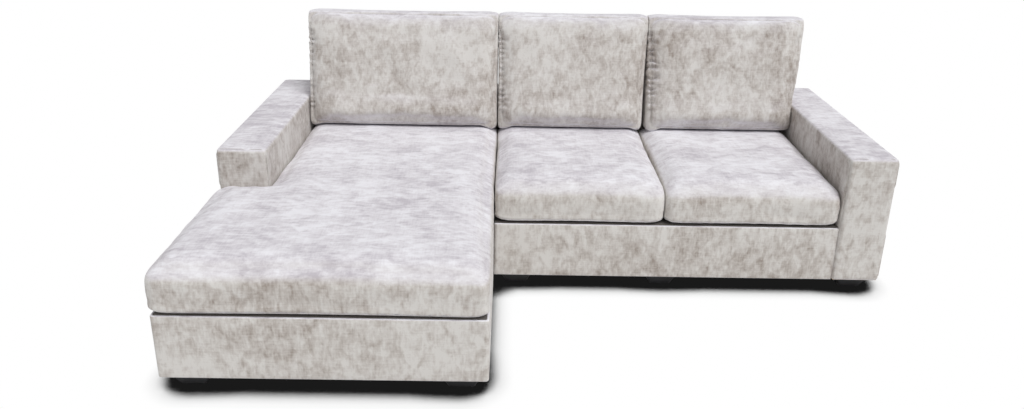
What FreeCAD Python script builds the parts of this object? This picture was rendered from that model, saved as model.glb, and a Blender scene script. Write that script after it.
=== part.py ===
"""Sectional sofa with chaise, in millimetres.

Two upholstered units stand side by side: a chaise unit with the left arm and a two-seat
unit with the right arm. Each has a timber base, a pitched back frame, an arm frame,
webbing, padded covers and block feet. Six loose cushions lie on them.

Axes: X runs to the viewer's right, the seats face -Y, Z is up, and the floor is z = 0.
The origin is the middle of the footprint, on the floor.
"""
import FreeCAD
import Part
import Sketcher
import math
import os

# Driving dimensions. Each is set by itself; everything else follows from them.
SIZES = {
    # overall
    "sofa_width": 2600,          # outer face to outer face of the arms
    "unit_depth": 990,           # front of the seat base to the outside back
    "chaise_reach": 696,         # how far the chaise runs on past the seat base
    "chaise_width": 1056,        # outer face of the left arm to the joint between the units
    "unit_joint": 2,             # gap between the two units
    "foot_height": 55,           # floor to the underside of the base
    "base_top": 284,             # floor to the platform that the seat cushions lie on
    "arm_height": 576,           # floor to the top of the arms and the back frame
    # covers and padding
    "cover": 8,                  # fabric with its wadding
    "border_round": 6,           # rounded upright corners of the base border
    "arm_foam": 20,              # pad on top of an arm
    "back_foam": 20,             # pad on the inside back
    "platform": 20,              # deck pad under the seat cushions
    "dust_sheet": 1.5,           # cloth under the base
    # arms
    "arm_width": 190,
    "arm_proud": 10,             # arm front stands this far before the seat base
    "arm_round": 16,             # rounded edges of the arm
    "arm_board": 12,             # top and rear boards
    "arm_panel": 5,              # side panels
    # back frame
    "back_top_depth": 150,       # depth of the back at its top
    "back_lean": 73,             # how far the inside back leans back from platform to top
    "back_sill": 20,             # thickness of the sill that the posts stand on
    "back_rail": 25,             # thickness of the top rail
    # timber base
    "board": 25,                 # rails, bearers and posts
    "block_thick": 40,           # corner blocks
    "block_gap": 5,              # corner block to the arm bearer
    # webbing
    "strap_thick": 2,
    "strap_width": 70,
    "sofa_straps": 8,
    "chaise_straps": 11,
    # feet
    "foot_top": 134,             # side of the square at the base
    "foot_sole": 84,             # side of the square on the floor
    "foot_inset": 23,            # outer face of the base to the top of the foot
    "foot_corner": 5,            # bevelled upright corners of the foot
    "bolt": 8,
    "bolt_seat": 25,             # floor to the lower end of the bolt
    "bolt_clear": 0.15,          # play round the bolt
    # locating pins and plates between the units
    "pin": 12,
    "pin_drop": 22,              # below the underside of the base
    "pin_grip": 42,              # length held in the rail
    "pin_clear": 0.3,
    "plate_thick": 4,
    "plate_width": 52,
    "plate_reach": 16,           # metal past the pin
    "plate_front": 205,          # front of the seat base to the front plate
    "plate_rear": 200,           # outside back to the rear plate
    # seat cushions
    "seat_edge": 158,            # height of the cushion at its top edge
    "seat_crown": 18,            # rise of the middle over the edge
    "seat_top_round": 34,
    "seat_low_round": 22,
    "seat_corner": 42,           # plan radius of the front corners
    "seat_rear_corner": 20,
    "seat_draw": 6,              # how far the sides draw in between the corners
    "seat_slope": 66,            # side of the cushion to the foot of its crown
    "seat_joint_shift": -11,     # joint of the seat cushions from the middle of their room
    "cushion_gap": 4,            # between cushions, and between cushions and arms
    "rest_gap": 0.3,             # a cushion to what it lies on
    # back cushions
    "back_edge": 182,            # thickness of the cushion at its front edge
    "back_crown": 26,            # rise of the front face over the edge
    "back_height": 522,          # length up the inside back, at the front of the cushion
    "back_front_round": 40,
    "back_rear_round": 26,
    "back_corner": 62,           # front-view radius of the top corners
    "back_low_corner": 34,
    "back_draw": 5,
    "back_slope": 80,
    "back_joint_shift": 15,      # joint of the back cushions from the joint of the seats
    "back_tuck": 11,             # each side comes in this much at the foot
    "back_overhang": 30,         # right cushion over the top of the arm
}

# Planes and lengths that follow from the driving dimensions, as sheet formulas.
PLACES = {
    "left_face": "-Sizes.sofa_width / 2",
    "right_face": "Sizes.sofa_width / 2",
    "back_face": "(Sizes.unit_depth + Sizes.chaise_reach) / 2",
    "chaise_front": "-back_face",
    "rail_face": "back_face - Sizes.unit_depth",
    "split": "left_face + Sizes.chaise_width",
    "chaise_side": "split - Sizes.unit_joint / 2",
    "sofa_side": "split + Sizes.unit_joint / 2",
    "left_arm_inner": "left_face + Sizes.arm_width",
    "right_arm_inner": "right_face - Sizes.arm_width",
    "arm_front": "rail_face - Sizes.arm_proud",
    "rail_bottom": "Sizes.foot_height + Sizes.dust_sheet",
    "rail_top": "Sizes.base_top - Sizes.platform - Sizes.strap_thick",
    "strap_top": "rail_top + Sizes.strap_thick",
    "arm_frame_top": "Sizes.arm_height - Sizes.cover - Sizes.arm_foam",
    "inner_back": "back_face - Sizes.cover",
    "back_slope_y": "Sizes.back_lean / (Sizes.arm_height - Sizes.base_top)",
    "inside_back_low": "back_face - Sizes.back_top_depth - Sizes.back_lean",
    "inside_back_top": "inside_back_low + Sizes.back_lean",
    "sill_top": "rail_top + Sizes.back_sill",
    "back_cover_top": "Sizes.arm_height - Sizes.cover",
    "top_rail_low": "back_cover_top - Sizes.back_rail",
    "post_offset": "Sizes.cover + Sizes.back_foam",
    "foot_centre": "Sizes.foot_inset + Sizes.foot_top / 2",
    "block_leg": "Sizes.arm_width - Sizes.cover - Sizes.board - Sizes.block_gap",
    "sofa_middle": "(sofa_side + right_arm_inner) / 2",
    "pin_x": "chaise_side - Sizes.cover - Sizes.board / 2",
    "front_plate_y": "rail_face + Sizes.plate_front",
    "rear_plate_y": "back_face - Sizes.plate_rear",
    "seat_joint": "(split + right_arm_inner) / 2 + Sizes.seat_joint_shift",
    "back_joint": "seat_joint + Sizes.back_joint_shift",
    "seat_bottom": "Sizes.base_top + Sizes.rest_gap",
    "seat_top": "seat_bottom + Sizes.seat_edge + Sizes.seat_crown",
}

doc = FreeCAD.newDocument("sectional_sofa")
parts = []


def make_sheet(name, rows):
    """Write one spreadsheet, with an alias for each row."""
    sheet = doc.addObject("Spreadsheet::Sheet", name)
    for row, (alias, content) in enumerate(rows.items(), start=1):
        cell = "A%d" % row
        text = content if isinstance(content, str) else str(content)
        sheet.set(cell, "=" + text if isinstance(content, str) else text)
        sheet.setAlias(cell, alias)
    doc.recompute()
    return sheet


sizes = make_sheet("Sizes", SIZES)
places = make_sheet("Places", PLACES)


def size(alias):
    """A driving dimension as a number."""
    return float(getattr(sizes, alias))


def place(alias):
    """A worked-out plane or length as a number."""
    return float(getattr(places, alias))


def formula(text):
    """Turn aliases such as rail_top or arm_width into sheet references."""
    words = []
    word = ""
    for letter in text + " ":
        if letter.isalnum() or letter == "_":
            word += letter
            continue
        if word in PLACES:
            word = "Places." + word
        elif word in SIZES:
            word = "Sizes." + word
        words.append(word + letter)
        word = ""
    return "".join(words).strip()


def keep(shape_object, label):
    """List an object as a finished sub-part under its own label."""
    shape_object.Label = label
    parts.append(shape_object)
    return shape_object


def new_body(label):
    """A PartDesign body, listed as a sub-part."""
    body = doc.addObject("PartDesign::Body", label)
    return keep(body, label)


def set_box(feature, spans):
    """Bind a box feature to its three spans, each a pair of formulas."""
    for side, axis, (low, high) in zip(("Length", "Width", "Height"), "xyz", spans):
        feature.setExpression(side, formula("(%s) - (%s)" % (high, low)))
        feature.setExpression("Placement.Base." + axis, formula(low))


def add_box(body, spans):
    """Add a box to a body."""
    feature = body.newObject("PartDesign::AdditiveBox", body.Name + "_block")
    set_box(feature, spans)
    doc.recompute()
    return feature


def cut_box(body, spans):
    """Cut a box out of a body and check that it cut something."""
    before = body.Shape.Volume
    feature = body.newObject("PartDesign::SubtractiveBox", body.Name + "_cut")
    set_box(feature, spans)
    doc.recompute()
    if not body.Shape.Volume < before:
        raise ValueError(body.Label + ": a cut removed nothing")
    return feature


def drill(body, x, y, low, high, diameter):
    """Bore an upright round hole through a body."""
    before = body.Shape.Volume
    bore = body.newObject("PartDesign::SubtractiveCylinder", body.Name + "_bore")
    bore.setExpression("Radius", formula("(%s) / 2" % diameter))
    bore.setExpression("Height", formula("(%s) - (%s)" % (high, low)))
    bore.setExpression("Placement.Base.x", formula(x))
    bore.setExpression("Placement.Base.y", formula(y))
    bore.setExpression("Placement.Base.z", formula(low))
    doc.recompute()
    if not body.Shape.Volume < before:
        raise ValueError(body.Label + ": a bore removed nothing")


def round_edges(body, radius, is_edge):
    """Round the edges of the body's last feature that pass a test."""
    last = body.Tip
    names = ["Edge%d" % (i + 1) for i, edge in enumerate(last.Shape.Edges) if is_edge(edge)]
    fillet = body.newObject("PartDesign::Fillet", body.Name + "_round")
    fillet.Base = (last, names)
    fillet.setExpression("Radius", formula(radius))
    doc.recompute()


def sketch_polygon(body, plane_role, offset, corners):
    """Draw a closed outline on one of the body's own planes, each corner bound by formulas.

    The first guess of each corner comes from a unit circle in the same order; the
    constraints then put it in its place.
    """
    sketch = body.newObject("Sketcher::SketchObject", body.Name + "_outline")
    plane = [item for item in body.Origin.OriginFeatures if item.Role == plane_role][0]
    sketch.AttachmentSupport = [(plane, "")]
    sketch.MapMode = "FlatFace"
    sketch.setExpression("AttachmentOffset.Base.z", formula(offset))
    count = len(corners)
    guess = []
    for corner in range(count):
        angle = 2 * math.pi * corner / count
        guess.append(FreeCAD.Vector(100 * math.cos(angle), 100 * math.sin(angle), 0))
    for corner in range(count):
        line = Part.LineSegment(guess[corner], guess[(corner + 1) % count])
        sketch.addGeometry(line, False)
    for corner in range(count):
        join = Sketcher.Constraint("Coincident", corner, 2, (corner + 1) % count, 1)
        sketch.addConstraint(join)
    for corner, (x, y) in enumerate(corners):
        for kind, start, text in (("DistanceX", guess[corner].x, x), ("DistanceY", guess[corner].y, y)):
            index = sketch.addConstraint(Sketcher.Constraint(kind, -1, 1, corner, 1, start))
            sketch.setExpression("Constraints[%d]" % index, formula(text))
    doc.recompute()
    return sketch


def pad_polygon(body, plane_role, low, high, corners):
    """Pad a polygon from one plane to another: XY_Plane pads up, YZ_Plane to the right."""
    sketch = sketch_polygon(body, plane_role, low, corners)
    pad = body.newObject("PartDesign::Pad", body.Name + "_pad")
    pad.Profile = sketch
    pad.setExpression("Length", formula("(%s) - (%s)" % (high, low)))
    doc.recompute()
    return pad


def cut_polygon(body, plane_role, low, high, corners):
    """Cut a polygon out of a body, from one plane to another."""
    before = body.Shape.Volume
    sketch = sketch_polygon(body, plane_role, low, corners)
    pocket = body.newObject("PartDesign::Pocket", body.Name + "_pocket")
    pocket.Profile = sketch
    pocket.Reversed = True
    pocket.setExpression("Length", formula("(%s) - (%s)" % (high, low)))
    doc.recompute()
    if not body.Shape.Volume < before:
        raise ValueError(body.Label + ": a pocket removed nothing")
    return pocket


def lean_y(height, offset):
    """Formula for y on the pitched inside back, at a height and an offset to the rear."""
    return "inside_back_low + ((%s) - base_top) * back_slope_y + (%s)" % (height, offset)


def make_board(label, x, y, z):
    """A plain timber board or sheet."""
    body = new_body(label)
    add_box(body, (x, y, z))
    return body


def make_group(label, members):
    """Several like pieces in one node, each a solid of its own."""
    group = doc.addObject("Part::Compound", label)
    solids = []
    for number, spans in enumerate(members, start=1):
        box = doc.addObject("Part::Box", "%s_%d" % (label, number))
        set_box(box, spans)
        solids.append(box)
    group.Links = solids
    doc.recompute()
    return keep(group, label)


def make_corner_blocks(unit, x_left, x_right, y_front, y_rear, feet):
    """Four triangular blocks inside the corners of the base; the feet bolt into them."""
    members = []
    ways = (("left", x_left, "+"), ("right", x_right, "-"))
    for end, y, y_way in (("front", y_front, "+"), ("rear", y_rear, "-")):
        for side, x, x_way in ways:
            body = doc.addObject("PartDesign::Body", "%s_block_%s_%s" % (unit, end, side))
            corners = [
                (x, y),
                ("%s %s block_leg" % (x, x_way), y),
                (x, "%s %s block_leg" % (y, y_way)),
            ]
            pad_polygon(body, "XY_Plane", "rail_bottom", "rail_bottom + block_thick", corners)
            hole_x, hole_y = feet["%s_foot_%s_%s" % (unit, end, side)]
            drill(body, hole_x, hole_y, "rail_bottom - 1", "rail_bottom + block_thick + 1", BOLT_HOLE)
            members.append(body)
    group = doc.addObject("Part::Compound", unit + "_corner_blocks")
    group.Links = members
    doc.recompute()
    return keep(group, unit + "_corner_blocks")


BOLT_HOLE = "bolt + 2 * bolt_clear"


def make_foot(label, x, y):
    """A block foot that tapers to the floor, with bevelled corners and a blind hole for its bolt."""
    body = new_body(label)
    wedge = body.newObject("PartDesign::AdditiveWedge", body.Name + "_taper")
    for side in "XZ":
        wedge.setExpression(side + "min", formula("-foot_sole / 2"))
        wedge.setExpression(side + "max", formula("foot_sole / 2"))
        wedge.setExpression(side + "2min", formula("-foot_top / 2"))
        wedge.setExpression(side + "2max", formula("foot_top / 2"))
    wedge.Ymin = 0
    wedge.setExpression("Ymax", formula("foot_height"))
    upright = FreeCAD.Rotation(FreeCAD.Vector(1, 0, 0), 90)
    wedge.Placement = FreeCAD.Placement(FreeCAD.Vector(0, 0, 0), upright)
    wedge.setExpression("Placement.Base.x", formula(x))
    wedge.setExpression("Placement.Base.y", formula(y))
    doc.recompute()
    height = size("foot_height")
    corners = ["Edge%d" % (i + 1) for i, edge in enumerate(wedge.Shape.Edges)
               if edge.BoundBox.ZLength > height / 2]
    bevel = body.newObject("PartDesign::Chamfer", body.Name + "_bevel")
    bevel.Base = (wedge, corners)
    bevel.setExpression("Size", formula("foot_corner"))
    doc.recompute()
    drill(body, x, y, "bolt_seat", "foot_height + 1", BOLT_HOLE)
    return body


def make_bolt_group(label, spots, top):
    """One headless bolt per foot, from the blind hole of the foot up into the timber."""
    members = []
    for number, (x, y) in enumerate(spots, start=1):
        bolt = doc.addObject("Part::Cylinder", "%s_%d" % (label, number))
        bolt.setExpression("Radius", formula("bolt / 2"))
        bolt.setExpression("Height", formula("%s - bolt_seat" % top))
        bolt.setExpression("Placement.Base.x", formula(x))
        bolt.setExpression("Placement.Base.y", formula(y))
        bolt.setExpression("Placement.Base.z", formula("bolt_seat"))
        members.append(bolt)
    group = doc.addObject("Part::Compound", label)
    group.Links = members
    doc.recompute()
    return keep(group, label)


def make_back_posts(unit, x_starts):
    """Three uprights with a pitched front edge."""
    members = []
    corners = [
        (lean_y("sill_top", "post_offset"), "sill_top"),
        ("inner_back", "sill_top"),
        ("inner_back", "top_rail_low"),
        (lean_y("top_rail_low", "post_offset"), "top_rail_low"),
    ]
    for number, start in enumerate(x_starts, start=1):
        body = doc.addObject("PartDesign::Body", "%s_post_%d" % (unit, number))
        pad_polygon(body, "YZ_Plane", start, "%s + board" % start, corners)
        members.append(body)
    group = doc.addObject("Part::Compound", unit + "_back_posts")
    group.Links = members
    doc.recompute()
    return keep(group, unit + "_back_posts")


def make_back_foam(label, x_low, x_high):
    """The pad on the inside back, between its cover and the posts."""
    body = new_body(label)
    corners = [
        ("inside_back_low + cover", "sill_top"),
        (lean_y("sill_top", "post_offset"), "sill_top"),
        (lean_y("back_cover_top", "post_offset"), "back_cover_top"),
        (lean_y("back_cover_top", "cover"), "back_cover_top"),
        ("inside_back_low + cover", "base_top"),
    ]
    pad_polygon(body, "YZ_Plane", x_low, x_high, corners)
    return body


def make_back_cover(label, x_low, x_high, hollow_low, hollow_high):
    """The cover of the back: pitched front, flat top, upright rear down to the base bottom."""
    body = new_body(label)
    corners = [
        ("inner_back", "foot_height"),
        ("back_face", "foot_height"),
        ("back_face", "arm_height"),
        ("inside_back_top", "arm_height"),
        ("inside_back_low", "base_top"),
        ("inside_back_low", "strap_top"),
        ("inner_back", "strap_top"),
    ]
    pad_polygon(body, "YZ_Plane", x_low, x_high, corners)

    def is_top_edge(edge):
        box = edge.BoundBox
        along_x = box.YLength < 0.01 and box.ZLength < 0.01
        return along_x and abs(box.ZMin - size("arm_height")) < 0.01

    round_edges(body, "cover", is_top_edge)
    hollow = [
        ("inside_back_low + cover", "strap_top - 1"),
        ("inner_back", "strap_top - 1"),
        ("inner_back", "back_cover_top"),
        (lean_y("back_cover_top", "cover"), "back_cover_top"),
        (lean_y("base_top", "cover"), "base_top"),
    ]
    cut_polygon(body, "YZ_Plane", hollow_low, hollow_high, hollow)
    return body


def make_arm_cover(label, x_low, x_high, wall_low, wall_high, front_low):
    """The cover of an arm: a rounded slab, hollow for the frame, open under the base line.

    wall_low and wall_high bound what is cut away below the rails, so that the outer
    wall stays; front_low is the rear of the front wall, or a plane before it.
    """
    body = new_body(label)
    add_box(body, ((x_low, x_high), ("arm_front", "back_face"), ("foot_height", "arm_height")))
    top = size("arm_height")
    front = place("arm_front")

    def is_soft_edge(edge):
        box = edge.BoundBox
        on_top = abs(box.ZMin - top) < 0.01
        on_front = abs(box.YMax - front) < 0.01
        upright = box.XLength < 0.01 and box.YLength < 0.01
        return on_top or (on_front and upright)

    round_edges(body, "arm_round", is_soft_edge)
    inside_x = ("%s + cover" % x_low, "%s - cover" % x_high)
    inside_y = ("arm_front + cover", "inner_back")
    cut_box(body, (inside_x, inside_y, ("foot_height - 1", "arm_height - cover")))
    cut_box(body, ((wall_low, wall_high), (front_low, "inner_back"), ("foot_height - 1", "rail_top")))
    return body


def make_arm_frame(label, x_low, x_high, front_board_low):
    """Boards and side panels that carry the arm cover, one node of separate boards."""
    inner = ("%s + cover" % x_low, "%s - cover" % x_high)
    boards_z = ("rail_top", "arm_frame_top - arm_board")
    rear_start = "inner_back - arm_board"
    between = ("rail_face + cover", rear_start)
    members = [
        (inner, ("arm_front + cover", "rail_face + cover"), (front_board_low, boards_z[1])),
        (inner, (rear_start, "inner_back"), boards_z),
        (inner, ("arm_front + cover", "inner_back"), (boards_z[1], "arm_frame_top")),
        ((inner[0], inner[0] + " + arm_panel"), between, boards_z),
        ((inner[1] + " - arm_panel", inner[1]), between, boards_z),
    ]
    return make_group(label, members)


def make_dust_sheet(label, x, y, spots):
    """The cloth under a unit, with a hole for each bolt and pin."""
    body = new_body(label)
    add_box(body, (x, y, ("foot_height", "rail_bottom")))
    for spot_x, spot_y, diameter in spots:
        drill(body, spot_x, spot_y, "foot_height - 1", "rail_bottom + 1", diameter)
    return body


def unit_strap_spans(count, low, high):
    """Even stations for webbing straps between two planes, as formulas of their low edge."""
    step = "((%s) - (%s) - strap_width) / %d" % (high, low, count - 1)
    return ["%s + %d * %s" % (low, number, step) for number in range(count)]


PIN_HOLE = "pin + 2 * pin_clear"
PIN_SPOTS = [("pin_x", "front_plate_y"), ("pin_x", "rear_plate_y")]
CHAISE_FEET = {
    "chaise_foot_front_left": ("left_face + foot_centre", "chaise_front + foot_centre"),
    "chaise_foot_front_right": ("chaise_side - foot_centre", "chaise_front + foot_centre"),
    "chaise_foot_rear_left": ("left_face + foot_centre", "back_face - foot_centre"),
    "chaise_foot_rear_right": ("chaise_side - foot_centre", "back_face - foot_centre"),
}
SOFA_FEET = {
    "sofa_foot_front_left": ("sofa_side + foot_centre", "rail_face + foot_centre"),
    "sofa_foot_front_middle": ("sofa_middle", "rail_face + foot_centre"),
    "sofa_foot_front_right": ("right_face - foot_centre", "rail_face + foot_centre"),
    "sofa_foot_rear_left": ("sofa_side + foot_centre", "back_face - foot_centre"),
    "sofa_foot_rear_middle": ("sofa_middle", "back_face - foot_centre"),
    "sofa_foot_rear_right": ("right_face - foot_centre", "back_face - foot_centre"),
}
RAIL_Z = ("rail_bottom", "rail_top")


def build_chaise_base():
    """Timber base, webbing and platform of the chaise unit."""
    outer_x = ("left_face + cover", "left_face + cover + board")
    inner_x = ("chaise_side - cover - board", "chaise_side - cover")
    full_y = ("chaise_front + cover", "inner_back")
    between_x = (outer_x[1], inner_x[0])
    front_y = ("chaise_front + cover", "chaise_front + cover + board")
    rear_y = ("inner_back - board", "inner_back")
    arm_bearer_x = ("left_arm_inner", "left_arm_inner + board")
    seat_x = (arm_bearer_x[1], inner_x[0])
    arm_cross_y = ("arm_front + cover", "arm_front + cover + board")
    make_board("chaise_outer_rail", outer_x, full_y, RAIL_Z)
    inner_rail = make_board("chaise_inner_rail", inner_x, full_y, RAIL_Z)
    for x, y in PIN_SPOTS:
        drill(inner_rail, x, y, "rail_bottom - 1", "foot_height + pin_grip", PIN_HOLE)
    make_board("chaise_front_rail", between_x, front_y, RAIL_Z)
    make_board("chaise_rear_rail", between_x, rear_y, RAIL_Z)
    front_mid = "(chaise_front + arm_front) / 2"
    seat_mid = "(arm_front + inside_back_low) / 2"
    make_group("chaise_cross_bearers", [
        (between_x, arm_cross_y, RAIL_Z),
        (between_x, (front_mid, front_mid + " + board"), RAIL_Z),
        (arm_bearer_x, (arm_cross_y[1], rear_y[0]), RAIL_Z),
        (seat_x, (seat_mid, seat_mid + " + board"), RAIL_Z),
        (seat_x, ("inside_back_low - board", "inside_back_low"), RAIL_Z),
    ])
    make_corner_blocks("chaise", outer_x[1], inner_x[0], front_y[1], rear_y[0], CHAISE_FEET)
    straps = []
    low, high = "chaise_front + cover", "inside_back_low"
    count = int(size("chaise_straps"))
    step = (place("inside_back_low") - place("chaise_front") - size("cover") - size("strap_width")) / (count - 1)
    for number, start in enumerate(unit_strap_spans(count, low, high)):
        strap_end = place("chaise_front") + size("cover") + number * step + size("strap_width")
        before_arm = strap_end < place("arm_front")
        strap_x = ("left_face + cover" if before_arm else "left_arm_inner", "chaise_side - cover")
        straps.append((strap_x, (start, start + " + strap_width"), ("rail_top", "strap_top")))
    make_group("chaise_seat_webbing", straps)
    platform = new_body("chaise_platform")
    pad_polygon(platform, "XY_Plane", "strap_top", "base_top", [
        ("left_face + cover", "chaise_front + cover"),
        ("chaise_side - cover", "chaise_front + cover"),
        ("chaise_side - cover", "inside_back_low"),
        ("left_arm_inner", "inside_back_low"),
        ("left_arm_inner", "arm_front"),
        ("left_face + cover", "arm_front"),
    ])


def build_chaise_border():
    """Padded border of the chaise base: front, outer side and the side at the joint."""

    def is_upright(edge):
        box = edge.BoundBox
        at_front = abs(box.YMax - place("chaise_front")) < 0.01
        return at_front and box.XLength < 0.01 and box.YLength < 0.01

    front = make_board("chaise_front_border", ("left_face", "chaise_side"),
                       ("chaise_front", "chaise_front + cover"), ("foot_height", "base_top"))
    round_edges(front, "border_round", is_upright)
    make_board("chaise_outer_border", ("left_face", "left_face + cover"),
               ("chaise_front + cover", "arm_front"), ("foot_height", "base_top"))
    side = new_body("chaise_inner_border")
    pad_polygon(side, "YZ_Plane", "chaise_side - cover", "chaise_side", [
        ("chaise_front + cover", "foot_height"),
        ("inner_back", "foot_height"),
        ("inner_back", "rail_top"),
        ("inside_back_low", "rail_top"),
        ("inside_back_low", "base_top"),
        ("chaise_front + cover", "base_top"),
    ])


def build_chaise_arm_and_back():
    """Left arm and back of the chaise unit."""
    make_arm_frame("left_arm_frame", "left_face", "left_arm_inner", "rail_top")
    make_board("left_arm_foam", ("left_face + cover", "left_arm_inner - cover"),
               ("arm_front + cover", "inner_back"), ("arm_frame_top", "arm_height - cover"))
    make_arm_cover("left_arm_cover", "left_face", "left_arm_inner",
                   "left_face + cover", "left_arm_inner + 1", "arm_front - 1")
    last_post = "chaise_side - cover - board"
    middle_post = "(left_arm_inner + chaise_side - cover - board) / 2"
    make_group("chaise_back_rails", [
        (("left_arm_inner", "chaise_side - cover"), ("inside_back_low + cover", "inner_back"),
         ("rail_top", "sill_top")),
        (("left_arm_inner", "chaise_side - cover"),
         (lean_y("back_cover_top", "post_offset"), "inner_back"), ("top_rail_low", "back_cover_top")),
    ])
    make_back_posts("chaise", ["left_arm_inner", middle_post, last_post])
    make_back_foam("chaise_back_foam", "left_arm_inner", "chaise_side - cover")
    make_back_cover("chaise_back_cover", "left_arm_inner", "chaise_side",
                    "left_arm_inner", "chaise_side - cover")


def build_sofa_base():
    """Timber base, webbing and platform of the two-seat unit."""
    inner_x = ("sofa_side", "sofa_side + board")
    outer_x = ("right_face - cover - board", "right_face - cover")
    full_y = ("rail_face + cover", "inner_back")
    between_x = (inner_x[1], outer_x[0])
    front_y = ("rail_face + cover", "rail_face + cover + board")
    rear_y = ("inner_back - board", "inner_back")
    arm_bearer_x = ("right_arm_inner - board", "right_arm_inner")
    middle_x = ("sofa_middle - board / 2", "sofa_middle + board / 2")
    seat_rear_y = ("inside_back_low - board", "inside_back_low")
    cross_y = (front_y[1], rear_y[0])
    make_board("sofa_inner_rail", inner_x, full_y, RAIL_Z)
    make_board("sofa_outer_rail", outer_x, full_y, RAIL_Z)
    make_board("sofa_front_rail", between_x, front_y, RAIL_Z)
    make_board("sofa_rear_rail", between_x, rear_y, RAIL_Z)
    make_sofa_bearers(middle_x, cross_y, [
        (arm_bearer_x, cross_y, RAIL_Z),
        ((inner_x[1], middle_x[0]), seat_rear_y, RAIL_Z),
        ((middle_x[1], arm_bearer_x[0]), seat_rear_y, RAIL_Z),
    ])
    make_corner_blocks("sofa", inner_x[1], outer_x[0], front_y[1], rear_y[0], SOFA_FEET)
    starts = unit_strap_spans(int(size("sofa_straps")), "sofa_side + board", "right_arm_inner")
    strap_y = ("rail_face + cover", "inside_back_low")
    straps = [((start, start + " + strap_width"), strap_y, ("rail_top", "strap_top")) for start in starts]
    make_group("sofa_seat_webbing", straps)
    make_board("sofa_platform", ("sofa_side", "right_arm_inner"),
               ("rail_face + cover", "inside_back_low"), ("strap_top", "base_top"))
    make_board("sofa_front_border", ("sofa_side", "right_arm_inner"),
               ("rail_face", "rail_face + cover"), ("foot_height", "base_top"))


def make_sofa_bearers(middle_x, cross_y, plain_members):
    """Bearers of the two-seat base; the middle one is bored for the bolts of the middle feet."""
    middle = doc.addObject("PartDesign::Body", "sofa_middle_bearer")
    add_box(middle, (middle_x, cross_y, RAIL_Z))
    for x, y in (SOFA_FEET["sofa_foot_front_middle"], SOFA_FEET["sofa_foot_rear_middle"]):
        drill(middle, x, y, "rail_bottom - 1", "rail_bottom + block_thick", BOLT_HOLE)
    members = [middle]
    for number, spans in enumerate(plain_members, start=1):
        box = doc.addObject("Part::Box", "sofa_bearer_%d" % number)
        set_box(box, spans)
        members.append(box)
    group = doc.addObject("Part::Compound", "sofa_cross_bearers")
    group.Links = members
    doc.recompute()
    return keep(group, "sofa_cross_bearers")


def build_sofa_arm_and_back():
    """Right arm and back of the two-seat unit."""
    make_arm_frame("right_arm_frame", "right_arm_inner", "right_face", "rail_bottom")
    make_board("right_arm_foam", ("right_arm_inner + cover", "right_face - cover"),
               ("arm_front + cover", "inner_back"), ("arm_frame_top", "arm_height - cover"))
    make_arm_cover("right_arm_cover", "right_arm_inner", "right_face",
                   "right_arm_inner - 1", "right_face - cover", "arm_front + cover")
    first_post = "sofa_side + cover"
    middle_post = "sofa_middle - board / 2"
    make_group("sofa_back_rails", [
        (("sofa_side + cover", "right_arm_inner"), ("inside_back_low + cover", "inner_back"),
         ("rail_top", "sill_top")),
        (("sofa_side + cover", "right_arm_inner"),
         (lean_y("back_cover_top", "post_offset"), "inner_back"), ("top_rail_low", "back_cover_top")),
    ])
    make_back_posts("sofa", [first_post, middle_post, "right_arm_inner - board"])
    make_back_foam("sofa_back_foam", "sofa_side + cover", "right_arm_inner")
    make_back_cover("sofa_back_cover", "sofa_side", "right_arm_inner",
                    "sofa_side + cover", "right_arm_inner")


def build_undersides():
    """Dust sheets, feet, bolts, and the pins and plates that hold the units together."""
    chaise_spots = [(x, y, BOLT_HOLE) for x, y in CHAISE_FEET.values()]
    chaise_spots += [(x, y, PIN_HOLE) for x, y in PIN_SPOTS]
    sofa_spots = [(x, y, BOLT_HOLE) for x, y in SOFA_FEET.values()]
    make_dust_sheet("chaise_dust_sheet", ("left_face + cover", "chaise_side - cover"),
                    ("chaise_front + cover", "inner_back"), chaise_spots)
    make_dust_sheet("sofa_dust_sheet", ("sofa_side", "right_face - cover"),
                    ("rail_face + cover", "inner_back"), sofa_spots)
    for label, (x, y) in list(CHAISE_FEET.items()) + list(SOFA_FEET.items()):
        make_foot(label, x, y)
    bolt_top = "rail_bottom + block_thick"
    make_bolt_group("chaise_foot_bolts", CHAISE_FEET.values(), bolt_top)
    make_bolt_group("sofa_foot_bolts", SOFA_FEET.values(), bolt_top)
    build_locating_pins()
    build_locating_plates()


def build_locating_pins():
    """Two steel pins in the inner rail of the chaise, tapered at the tip."""
    members = []
    for number, (x, y) in enumerate(PIN_SPOTS, start=1):
        shank = doc.addObject("Part::Cylinder", "locating_shank_%d" % number)
        shank.setExpression("Radius", formula("pin / 2"))
        shank.setExpression("Height", formula("pin_drop + pin_grip - pin / 2"))
        shank.setExpression("Placement.Base.z", formula("foot_height - pin_drop + pin / 2"))
        tip = doc.addObject("Part::Cone", "locating_tip_%d" % number)
        tip.setExpression("Radius1", formula("pin / 4"))
        tip.setExpression("Radius2", formula("pin / 2"))
        tip.setExpression("Height", formula("pin / 2"))
        tip.setExpression("Placement.Base.z", formula("foot_height - pin_drop"))
        for piece in (shank, tip):
            piece.setExpression("Placement.Base.x", formula(x))
            piece.setExpression("Placement.Base.y", formula(y))
        pin = doc.addObject("Part::Fuse", "locating_pin_%d" % number)
        pin.Base = shank
        pin.Tool = tip
        members.append(pin)
    group = doc.addObject("Part::Compound", "chaise_locating_pins")
    group.Links = members
    doc.recompute()
    return keep(group, "chaise_locating_pins")


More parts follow.
